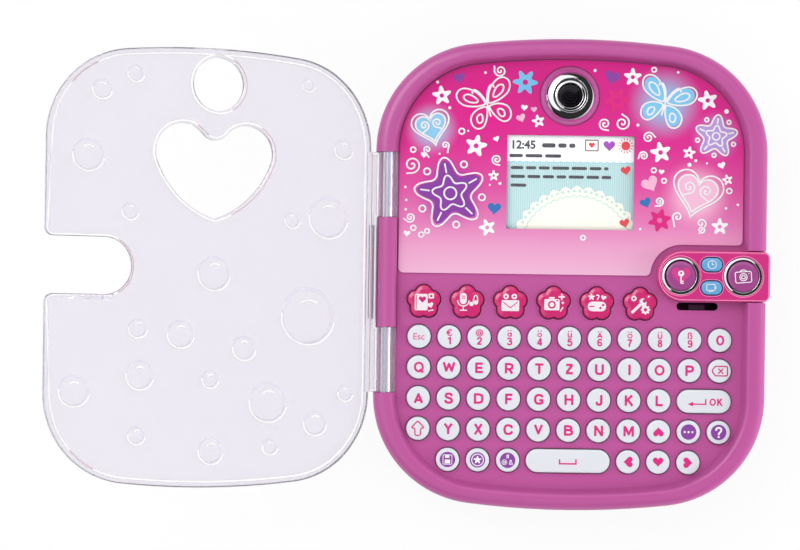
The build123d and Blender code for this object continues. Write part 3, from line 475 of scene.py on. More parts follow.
room = {
    # bright on the lamps' side and dark on the other, which plated rims and glass reflect
    "brightSide": (-0.66, 0.6, 0.45),  # towards the upper left
    "shade": {"From Min": -0.5, "From Max": 0.6, "To Min": 0.15, "To Max": 0.7},
    # plating and gloss see a wide white screen on that side, nothing overhead, and the sweep's edge all round
    "screenSide": (-0.788, 0.616, 0.0),
    # each fade: (from, to, value before, value after)
    "screenWidth": (0.3, 0.93, 0.8, -0.3),  # narrow low down and wide high up
    "screenEdge": (0.0, 0.08, 0.03, 1.1),
    "screenFoot": (0.2, 0.32, 0.03, 1.0),
    "screenHead": (0.94, 0.985, 1.0, 0.05),
    "sweepSide": (0.71, -0.71, 0.0),  # towards the sweep's bright edge
    "sweepEdge": (0.1, 0.22, 0.95, 0.0),
    "sweepShade": {"From Min": -0.25, "From Max": 0.1, "To Min": 0.1, "To Max": 1.0},
    "throughPlastic": 0.9,  # what clear plastic bends round its edges is the white room
}


def fadeSettings(low, high, first, last):
    return {"interpolation_type": "SMOOTHSTEP",
            "From Min": low, "From Max": high, "To Min": first, "To Max": last}


def makeRoom():
    world = bpy.data.worlds.new("studioWorld")
    bpy.context.scene.world = world
    world.use_nodes = True
    tree = world.node_tree
    tree.nodes.clear()
    rays = addNode(tree, "ShaderNodeLightPath")
    coords = addNode(tree, "ShaderNodeTexCoord")
    way = coords.outputs["Generated"]
    split = addNode(tree, "ShaderNodeSeparateXYZ", None, {"Vector": way})
    flat = addNode(tree, "ShaderNodeVectorMath", {"operation": "MULTIPLY", 1: (1, 1, 0)}, {0: way})
    level = addNode(tree, "ShaderNodeVectorMath", {"operation": "NORMALIZE"}, {0: flat.outputs["Vector"]})
    facing, towards, outward = [
        addNode(tree, "ShaderNodeVectorMath", {"operation": "DOT_PRODUCT", 1: room[side]},
                {0: start}).outputs["Value"]
        for side, start in (("brightSide", way), ("screenSide", level.outputs["Vector"]), ("sweepSide", way))]
    height = split.outputs["Z"]
    width, foot, head, sweepEdge = [
        addNode(tree, "ShaderNodeMapRange", fadeSettings(*room[name]), {"Value": height}).outputs[0]
        for name in ("screenWidth", "screenFoot", "screenHead", "sweepEdge")]
    shade = addNode(tree, "ShaderNodeMapRange", room["shade"], {"Value": facing})
    reach = addNode(tree, "ShaderNodeMath", {"operation": "SUBTRACT"}, {0: towards, 1: width})
    screenGlow = addNode(tree, "ShaderNodeMapRange", fadeSettings(*room["screenEdge"]),
                         {"Value": reach.outputs[0]})
    heights = addNode(tree, "ShaderNodeMath", {"operation": "MULTIPLY"}, {0: foot, 1: head})
    upper = addNode(tree, "ShaderNodeMath", {"operation": "MULTIPLY"},
                    {0: screenGlow.outputs[0], 1: heights.outputs[0]})
    side = addNode(tree, "ShaderNodeMapRange", room["sweepShade"], {"Value": outward})
    sweep = addNode(tree, "ShaderNodeMath", {"operation": "MULTIPLY"}, {0: sweepEdge, 1: side.outputs[0]})
    gloss = addNode(tree, "ShaderNodeMath", {"operation": "MAXIMUM"},
                    {0: upper.outputs[0], 1: sweep.outputs[0]})
    lit = addNode(tree, "ShaderNodeMix", {"data_type": "FLOAT"},
                  {0: rays.outputs["Is Glossy Ray"], 2: shade.outputs[0], 3: gloss.outputs[0]})
    strength = addNode(tree, "ShaderNodeMix", {"data_type": "FLOAT", 3: room["throughPlastic"]},
                       {0: rays.outputs["Is Transmission Ray"], 2: lit.outputs[0]})
    dim = addNode(tree, "ShaderNodeBackground", {"Color": (1, 1, 1, 1)}, {"Strength": strength.outputs[0]})
    white = addNode(tree, "ShaderNodeBackground", {"Color": (1, 1, 1, 1), "Strength": 1.0})
    mixed = addNode(tree, "ShaderNodeMixShader", None,
                    {0: rays.outputs["Is Camera Ray"], 1: dim.outputs[0], 2: white.outputs[0]})
    addNode(tree, "ShaderNodeOutputWorld", None, {"Surface": mixed.outputs[0]})
    bpy.context.scene.view_settings.view_transform = "Standard"
    print("room lit")


makeCameraAndLamps()
makeFloor()
makeRoom()


# materials

def startMaterial(name, sockets):
    # a material with its shader's constants set, and the piece's own coordinates
    material = bpy.data.materials.new(name)
    material.use_nodes = True
    tree = material.node_tree
    shader = tree.nodes["Principled BSDF"]
    for socket, value in sockets.items():
        shader.inputs[socket].default_value = value
    coords = addNode(tree, "ShaderNodeTexCoord")
    return material, tree, shader, coords.outputs["Object"]


def driftMaterial(name, sockets, scale, detail, first, second):
    # one colour drifts into the other over the piece
    material, tree, shader, place = startMaterial(name, sockets)
    drift = addNode(tree, "ShaderNodeTexNoise", {"Scale": scale, "Detail": detail}, {"Vector": place})
    tint = addNode(tree, "ShaderNodeMix", {"data_type": "RGBA", 6: first, 7: second},
                   {"Factor": drift.outputs["Fac"]})
    tree.links.new(tint.outputs[2], shader.inputs["Base Color"])
    return material, tree, shader, place


def scaled(colour, share):
    return [c * share for c in colour[:3]] + [1.0]


def plasticMaterial(name, hexColour, darker, roughness, grainMm=0.0, grainDepth=0.0, coat=0.0):
    # moulded plastic: a faint drift of shade, and a fine spark-eroded grain where it has one
    sockets = {"Roughness": roughness, "IOR": 1.52, "Coat Weight": coat, "Coat Roughness": 0.08}
    shades = linear(hexColour), linear(darker)
    material, tree, shader, place = driftMaterial(name, sockets, 1000 / 60.0, 2.0, *shades)
    if grainMm:
        grain = addNode(tree, "ShaderNodeTexNoise", {"Scale": 1000 / grainMm, "Detail": 3.0},
                        {"Vector": place})
        bump = addNode(tree, "ShaderNodeBump", {"Strength": 1.0, "Distance": grainDepth * mm},
                       {"Height": grain.outputs["Fac"]})
        tree.links.new(bump.outputs["Normal"], shader.inputs["Normal"])
    return material


# ABS case, orchid pink: satin with a fine grain that softens its highlights
caseAbs = plasticMaterial("orchid moulded ABS", "#bd579b", "#b85096", 0.32, 0.9, 0.012)
# the camera collar is the case's own plastic; its gloss is real, and its lighter colour is painted light for
# what its slopes catch
collarLighterAbs = plasticMaterial("orchid gloss ABS painted lighter", "#c66cae", "#c067a8", 0.15, coat=0.5)
podAbs = plasticMaterial("magenta gloss ABS", "#d03581", "#c92f7d", 0.18, coat=0.3)
keyAbs = plasticMaterial("white satin ABS", "#dfe1e8", "#d9dbe3", 0.38, 0.7, 0.008)
flowerAbs = plasticMaterial("translucent magenta ABS", "#d22a74", "#c62469", 0.2, coat=0.25)
purpleAbs = plasticMaterial("purple gloss ABS", "#a0478c", "#984284", 0.22, coat=0.3)
blueAbs = plasticMaterial("sky blue gloss ABS", "#64aad8", "#5ca2d1", 0.2, coat=0.3)
blackAbs = plasticMaterial("black matt ABS", "#18161a", "#121013", 0.5, 0.8, 0.01)
boardResin = plasticMaterial("green solder resist", "#1c5a35", "#174d2d", 0.35, 1.2, 0.02)
silicone = plasticMaterial("milky silicone rubber", "#d6d2d4", "#cbc6c9", 0.55, 0.8, 0.01)
boltAbs = plasticMaterial("plum acetal", "#44163c", "#3a1233", 0.45, 0.8, 0.01)


def metalMaterial(name, hexColour, roughness, marksMm):
    # plated or plain metal, its gloss broken a little by turning marks
    material, tree, shader, place = startMaterial(name, {"Base Color": linear(hexColour), "Metallic": 1.0})
    marks = addNode(tree, "ShaderNodeTexNoise", {"Scale": 1000 / marksMm, "Detail": 4.0}, {"Vector": place})
    spread = addNode(tree, "ShaderNodeMapRange", {"To Min": roughness * 0.8, "To Max": roughness * 1.25},
                     {"Value": marks.outputs["Fac"]})
    tree.links.new(spread.outputs[0], shader.inputs["Roughness"])
    return material


chromePlate = metalMaterial("bright chrome plate", "#eeeef2", 0.05, 12.0)
steelWire = metalMaterial("drawn steel rod", "#c9cdd6", 0.22, 0.6)
print("materials made")

cadFinish = {
    "front_shell": caseAbs, "rear_shell": caseAbs, "battery_door": caseAbs,
    "button_pod": podAbs, "unlock_ring": chromePlate, "shutter_ring": chromePlate,
    "camera_bezel": chromePlate, "hinge_rod": steelWire, "case_screws": steelWire,
    "door_screw": steelWire, "latch_solenoid": steelWire, "battery_contacts": steelWire,
    "main_board": boardResin, "keypad_membrane": silicone, "speaker": blackAbs,
    "microphone": blackAbs, "camera_module": blackAbs, "latch_bolt": boltAbs,
    "unlock_button": purpleAbs, "shutter_button": purpleAbs,
    "clock_button": blueAbs, "gallery_button": blueAbs,
}
for nodeName, material in cadFinish.items():
    setMaterial(nodes[nodeName], material)


# inks, clear plastics, the printed film, the display and the lens

def inkMaterial(name, hexColour, roughness=0.38):
    # pad-printed ink: nearly even, with a faint speckle
    colour = linear(hexColour)
    sockets = {"Roughness": roughness, "IOR": 1.5}
    return driftMaterial(name, sockets, 1000 / 0.6, 2.0, colour, scaled(colour, 0.93))[0]


def clearMaterial(name, hexColour, roughness, hazeMm, hazeShare, ior):
    # clear plastic: light passes tinted a little, and a cloudy drift keeps it from looking like air
    colour = linear(hexColour)
    sockets = {"Roughness": roughness, "IOR": ior, "Transmission Weight": 1 - hazeShare}
    material, tree, shader, _ = driftMaterial(name, sockets, 1000 / hazeMm, 3.0, colour, scaled(colour, 0.97))
    rays = addNode(tree, "ShaderNodeLightPath")
    through = addNode(tree, "ShaderNodeBsdfTransparent", {"Color": scaled(colour, 0.95)})
    mixed = addNode(tree, "ShaderNodeMixShader", None,
                    {0: rays.outputs["Is Shadow Ray"], 1: shader.outputs[0], 2: through.outputs[0]})
    tree.links.new(mixed.outputs[0], tree.nodes["Material Output"].inputs["Surface"])
    return material


magentaInk = inkMaterial("magenta pad-print ink", "#dc1f80")
purpleInk = inkMaterial("purple pad-print ink", "#8a3f9f")
whiteInk = inkMaterial("white screen-print ink", "#f6f3f7")
paleInk = inkMaterial("pale pink screen-print ink", "#f3b6d4")
blueInk = inkMaterial("blue screen-print ink", "#2f74bb")
skyInk = inkMaterial("sky blue screen-print ink", "#73c1ea")
heartInk = inkMaterial("deep pink pad-print ink", "#cf3a8a")
flowerGapShadeInk = inkMaterial("dark wine painted shade round the flowers", "#5e1743")
keyGapShadeInk = inkMaterial("deep orchid painted shade round the key holes", "#7c3566")
podGapShadeInk = inkMaterial("dark plum painted shade in the pill gaps", "#43255e")
podHighlightInk = inkMaterial("light rose painted highlight", "#ee86b8")
greyInk = inkMaterial("grey legend ink", "#efe4ec")
clearLid = clearMaterial("water clear moulded polystyrene", "#ece9f0", 0.06, 18.0, 0.1, 1.5)
reliefClear = clearMaterial("clear moulded relief", "#f4f3f7", 0.1, 18.0, 0.1, 1.025)
clearWindow = clearMaterial("clear hard-coated acrylic", "#fbfbfd", 0.01, 30.0, 0.0, 1.1)
pinkReflectionInk = inkMaterial("painted pink reflection on a cut edge", "#c99ab4", 0.3)
highlightInk = inkMaterial("white painted highlight", "#ffffff", 0.3)
bubbleShadeInk = inkMaterial("grey lilac painted shade", "#dad6e0", 0.3)
flangeShadeInk = inkMaterial("matt grey lilac painted shade", "#b7b0bd", 0.5)


film = {
    # the ground colour at each height up the panel, in mm, and the last of the heights
    "ramp": ((0, "#ecb4d3"), (11, "#e8a0c8"), (20, "#e17db7"), (34, "#dc52a0"), (50, "#d92f90"),
             (83, "#d02385")),
    "end": 83.0,
    # airbrushed glows: (middle, reach, colour, strength)
    "glows": (((48.5, 31.5), 15, "#f9d3e4", 0.9), ((36, 67), 16, "#6fcaf0", 0.95),
              ((56, 54.5), 11, "#a99fdb", 0.85), ((-47, 31), 16, "#8a3fa6", 0.95),
              ((-54.5, 56), 11.5, "#8fd0f4", 0.95), ((-33, 65.5), 15, "#e4108a", 0.85)),
    "wavesMm": 9.0,
    "waveDepth": 0.01,
}


def filmMaterial():
    # printed film under gloss: deep pink at the camera end, pale at the keys, with soft airbrushed glows
    sockets = {"Roughness": 0.22, "IOR": 1.5}
    material, tree, shader, place = startMaterial("gloss printed polycarbonate film", sockets)
    split = addNode(tree, "ShaderNodeSeparateXYZ", None, {"Vector": place})
    share = addNode(tree, "ShaderNodeMapRange", {"From Min": 0.0, "From Max": film["end"] * mm},
                    {"Value": split.outputs["Y"]})
    ramp = addNode(tree, "ShaderNodeValToRGB", None, {"Fac": share.outputs[0]})
    stops = ramp.color_ramp.elements
    for _ in range(len(film["ramp"]) - 2):
        stops.new(0.5)
    for stop, (height, colour) in zip(stops, film["ramp"]):
        stop.position = height / film["end"]
        stop.color = linear(colour)
    colour = ramp.outputs["Color"]
    for (x, y), reach, glow, strength in film["glows"]:
        away = addNode(tree, "ShaderNodeVectorMath",
                       {"operation": "DISTANCE", 1: Vector((x, y, case["panelTop"])) * mm}, {0: place})
        fade = addNode(tree, "ShaderNodeMapRange", fadeSettings(0.0, reach * mm, strength, 0.0),
                       {"Value": away.outputs["Value"]})
        mix = addNode(tree, "ShaderNodeMix", {"data_type": "RGBA", 7: linear(glow)},
                      {"Factor": fade.outputs[0], 6: colour})
        colour = mix.outputs[2]
    tree.links.new(colour, shader.inputs["Base Color"])
    waves = addNode(tree, "ShaderNodeTexNoise", {"Scale": 1000 / film["wavesMm"]}, {"Vector": place})
    bump = addNode(tree, "ShaderNodeBump", {"Strength": 0.6, "Distance": film["waveDepth"] * mm},
                   {"Height": waves.outputs["Fac"]})
    tree.links.new(bump.outputs["Normal"], shader.inputs["Normal"])
    return material


waveTurn = 314  # a wave texture of this scale repeats about every millimetre
display = {"stripeMm": 0.85, "shades": ("#93b1b0", "#a8c4c3")}
lensSteps = {"middle": (-1.0, 69.4), "stepMm": 1.1, "shades": ("#060507", "#1b171e")}


def waveMaterial(name, sockets, settings, centre, shades):
    # two shades in turn, in stripes or rings
    material, tree, shader, place = startMaterial(name, sockets)
    if centre:
        centred = addNode(tree, "ShaderNodeMapping", {"Location": Vector((-centre[0], -centre[1], 0)) * mm},
                          {"Vector": place})
        place = centred.outputs["Vector"]
    wave = addNode(tree, "ShaderNodeTexWave", settings, {"Vector": place})
    tint = addNode(tree, "ShaderNodeMix", {"data_type": "RGBA", 6: linear(shades[0]), 7: linear(shades[1])},
                   {"Factor": wave.outputs["Fac"]})
    tree.links.new(tint.outputs[2], shader.inputs["Base Color"])
    return material


def displayMaterial():
    # a lit colour display: fine upright stripes of two aquas
    stripes = {"wave_type": "BANDS", "bands_direction": "X", "Scale": waveTurn / display["stripeMm"]}
    return waveMaterial("backlit colour display", {"Roughness": 0.3}, stripes, None, display["shades"])


def lensMaterial():
    # coated glass over a black barrel, with the barrel's fine steps seen as rings
    rings = {"wave_type": "RINGS", "rings_direction": "Z", "Scale": waveTurn / lensSteps["stepMm"]}
    sockets = {"Roughness": 0.08, "Specular IOR Level": 0.25}
    return waveMaterial("coated lens glass", sockets, rings, lensSteps["middle"], lensSteps["shades"])


printedFilm = filmMaterial()
litDisplay = displayMaterial()
lensGlass = lensMaterial()
cellWrap = plasticMaterial("printed PVC cell sleeve", "#3b6fb4", "#2f5f9f", 0.3, 6.0, 0.01)

for nodeName, material, slotName in (
        ("printed_panel", printedFilm, "printed_panel"), ("screen_window", clearWindow, "clear_window"),
        ("display_module", litDisplay, "display"), ("lid", clearLid, "clear_lid"),
        ("batteries", cellWrap, "battery_cells")):
    setMaterial(nodes[nodeName], material)
print("materials ready")


# the case's holes: a soft bead round each, which catches the light as the real rolled edge does

def middle(nodeName):
    low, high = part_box(nodeName)
    return ((low.x + high.x) / 2 / mm, (low.y + high.y) / 2 / mm)


def levels(nodeName):
    low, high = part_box(nodeName)
    return low.z / mm, high.z / mm


keys = {
    "radius": 4.525,
    "lengths": {"enter_key": 20.93, "space_key": 32.61},
    "barLength": 10.85,
    "barWidth": 3.0,
    "barThickness": 0.9,
    "barTurn": pi / 4,
    "bevel": 0.42,
    "crown": 0.12,
    "shade": (0.46, 0.275),  # how far outside the hole its painted soft shade ends and starts
}
firstKey = middle("escape_key")
lastKey = middle("help_key")
keyPitch = ((lastKey[0] - firstKey[0]) / 10, (firstKey[1] - lastKey[1]) / 3)


def keyPlace(row, column):
    return (firstKey[0] + column * keyPitch[0], firstKey[1] - row * keyPitch[1])


flowers = {
    "orbit": 3.3,
    "names": ("diary_button", "voice_button", "contacts_button", "photos_button", "games_button",
              "tools_button"),
    "bevel": 0.5,
    "crown": 0.4,
    "skin": 0.16,  # the cap's skin stands this far outside the solid
    "sides": 120,
    "frame": (0.72, 0.285),  # how far outside the outline its painted shade frame ends and starts
    "beadOut": 0.45,
    "beadWidth": 0.9,
    "pictureSize": 1.14,
}
flowerLow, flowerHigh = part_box("diary_button")
# the petals' radius from the flower's width, with one petal pointing up
flowers["petal"] = (flowerHigh.x - flowerLow.x) / 2 / mm - flowers["orbit"] * cos(pi / 10)


def flowerReach(angle, grow):
    # how far the outline of five round petals reaches from its middle, one petal pointing up
    best = flowers["orbit"] + grow
    for n in range(5):
        away = angle - pi / 2 - 2 * pi * n / 5
        under = (flowers["petal"] + grow) ** 2 - (flowers["orbit"] * sin(away)) ** 2
        if under > 0:
            best = max(best, flowers["orbit"] * cos(away) + sqrt(under))
    return best


def beadReach(angle, away, isFlower):
    if isFlower:
        return flowerReach(angle, away * flowers["beadWidth"] + flowers["beadOut"])
    return keys["radius"] + away


beadProfile = (  # (how far outside the hole, height) round the bead's section
    (0.262, 25.3), (0.262, 25.41), (0.7, 25.42), (0.9, 25.47), (1.08, 25.56), (1.12, 25.405), (1.12, 25.3))


def edgeBead(name, places, isFlower, stretch=0.0, count=48):
    # one closed low bead round each place
    points, faces = [], []
    loops = len(beadProfile)
    for x, y in places:
        first = len(points)
        for n in range(count):
            angle = 2 * pi * (n + 0.5) / count
            side = stretch / 2 if cos(angle) > 0 else -stretch / 2
            for away, height in beadProfile:
                points.append((*around((x + side, y), beadReach(angle, away, isFlower), angle), height))
        for n in range(count):
            here, there = first + n * loops, first + (n + 1) % count * loops
            for k in range(loops):
                after = (k + 1) % loops
                faces.append((here + k, here + after, there + after, there + k))
    piece = wirePiece(name, points, (), faces)
    faceOutward(piece)
    smooth(piece, 30)
    return piece


roundPlaces = [keyPlace(row, column) for row in range(4) for column in range(11)
               if not (row == 2 and column > 8)]
roundPlaces += [keyPlace(4, column) for column in (1, 2, 3, 7, 8, 9)]
flowerPlaces = [middle(name) for name in flowers["names"]]
keyHoles = [("round", roundPlaces, 2 * keys["radius"])]
keyHoles += [(name, [middle(name)], length) for name, length in keys["lengths"].items()]
beads = [edgeBead(f"{name}Beads", places, False, length - 2 * keys["radius"])
         for name, places, length in keyHoles]
beads.append(edgeBead("flowerBeads", flowerPlaces, True, count=100))
finishPiece(joinPieces(beads, "keyHoleBeads"), caseAbs, "case")


def flowerRing(place, count=100):
    # the painted shade line that frames a flower, dark where its gap falls in shade, as an outer outline and
    # its hole
    return [[around(place, flowerReach(2 * pi * n / count, grow), 2 * pi * n / count) for n in range(count)]
            for grow in flowers["frame"]]


def keyRing(place, length):
    # the painted soft shade round a key's hole, where its gap falls in shade
    loops = []
    for grow in keys["shade"]:
        radius = keys["radius"] + grow
        loops.append(roundedBox(place, length + 2 * grow, 2 * radius, radius - 0.005, count=12))
    return loops


shadeLevel = case["deck"] + inkThickness
# painted shade round the flowers: a dark wine ring on the deck where each gap falls in shade
frames = [filledShapes("flowerGapShade", flowerRing(place), shadeLevel) for place in flowerPlaces]
layInk(joinPieces(frames, "flowerGapShades"), flowerGapShadeInk, "case")
# painted shade round the keys: a deep orchid ring on the deck where each gap falls in shade
shades = [filledShapes("keyShade", keyRing(place, length), shadeLevel)
          for _, places, length in keyHoles for place in places]
layInk(joinPieces(shades, "keyHoleShades"), keyGapShadeInk, "case")
print("hole beads made")


# keys

keyFoot, keyTop = levels("escape_key")
capMaster = joinPieces([
    cap("capTop", keys["radius"], keyFoot, keyTop, keys["bevel"], keys["crown"]),
    bar("capBar", keys["barLength"], keys["barWidth"], keyFoot, keys["barTurn"]),
], "keyMaster")


def makeKeys(nodeName, places):
    caps = [copyPiece(capMaster, f"{nodeName}Cap{n}", x, y) for n, (x, y) in enumerate(places)]
    finishPiece(joinPieces(caps, f"{nodeName}_caps"), keyAbs, f"{nodeName}_body", (nodeName,))


def makeLongKey(nodeName, length):
    stretch = length - 2 * keys["radius"]
    foot, top = levels(nodeName)
    parts = [cap(f"{nodeName}Top", keys["radius"], foot, top, keys["bevel"], keys["crown"], stretch)]
    for side in (1, -1):
        parts.append(bar(f"{nodeName}Bar", keys["barLength"], keys["barWidth"], foot, keys["barTurn"],
                         side * stretch / 2))
    piece = joinPieces(parts, f"{nodeName}_cap")
    shiftPiece(piece, *middle(nodeName))
    finishPiece(piece, keyAbs, f"{nodeName}_body", (nodeName,))


keyRows = {
    "digit_keys": (0, range(1, 11), "1234567890"),
    "upper_letter_keys": (1, range(0, 10), "QWERTZUIOP"),
    "home_letter_keys": (2, range(0, 9), "ASDFGHJKL"),
    "lower_letter_keys": (3, range(1, 8), "YXCVBNM"),
}
singleKeys = {
    "escape_key": (0, 0), "delete_key": (1, 10), "shift_key": (3, 0), "up_key": (3, 8), "more_key": (3, 9),
    "help_key": (3, 10), "save_key": (4, 1), "faces_key": (4, 2), "signs_key": (4, 3), "left_key": (4, 7),
    "down_key": (4, 8), "right_key": (4, 9),
}
for nodeName, (row, columns, _) in keyRows.items():
    makeKeys(nodeName, [keyPlace(row, column) for column in columns])
for nodeName, (row, column) in singleKeys.items():
    makeKeys(nodeName, [keyPlace(row, column)])
for nodeName, length in keys["lengths"].items():
    makeLongKey(nodeName, length)
discard(capMaster)
print("key caps made")


# key legends

legendLevel = keyTop + inkThickness / 2
upperLevel = legendLevel + inkThickness
legends = {
    "shift": 0.12,  # the print sits a little to the right of the caps' middles
    # each kind of mark: (height, shift up, weight, width)
    "letter": (4.05, 0, 0.225, 1.18),
    "digit": (2.95, -1.5, 0.21, 1.08),
    "sign": (2.6, 1.62, 0.175, 1.12),
    "lone digit": (3.9, 0, 0.22, 1.3),
}
signs = ("€", "@", "ä", "ö", "ü", "Ä", "Ö", "Ü", "ß", "")


def dots(middleX):
    return [("l", (middleX + side, 0.82), (middleX + side, 1.0)) for side in (-0.18, 0.18)]


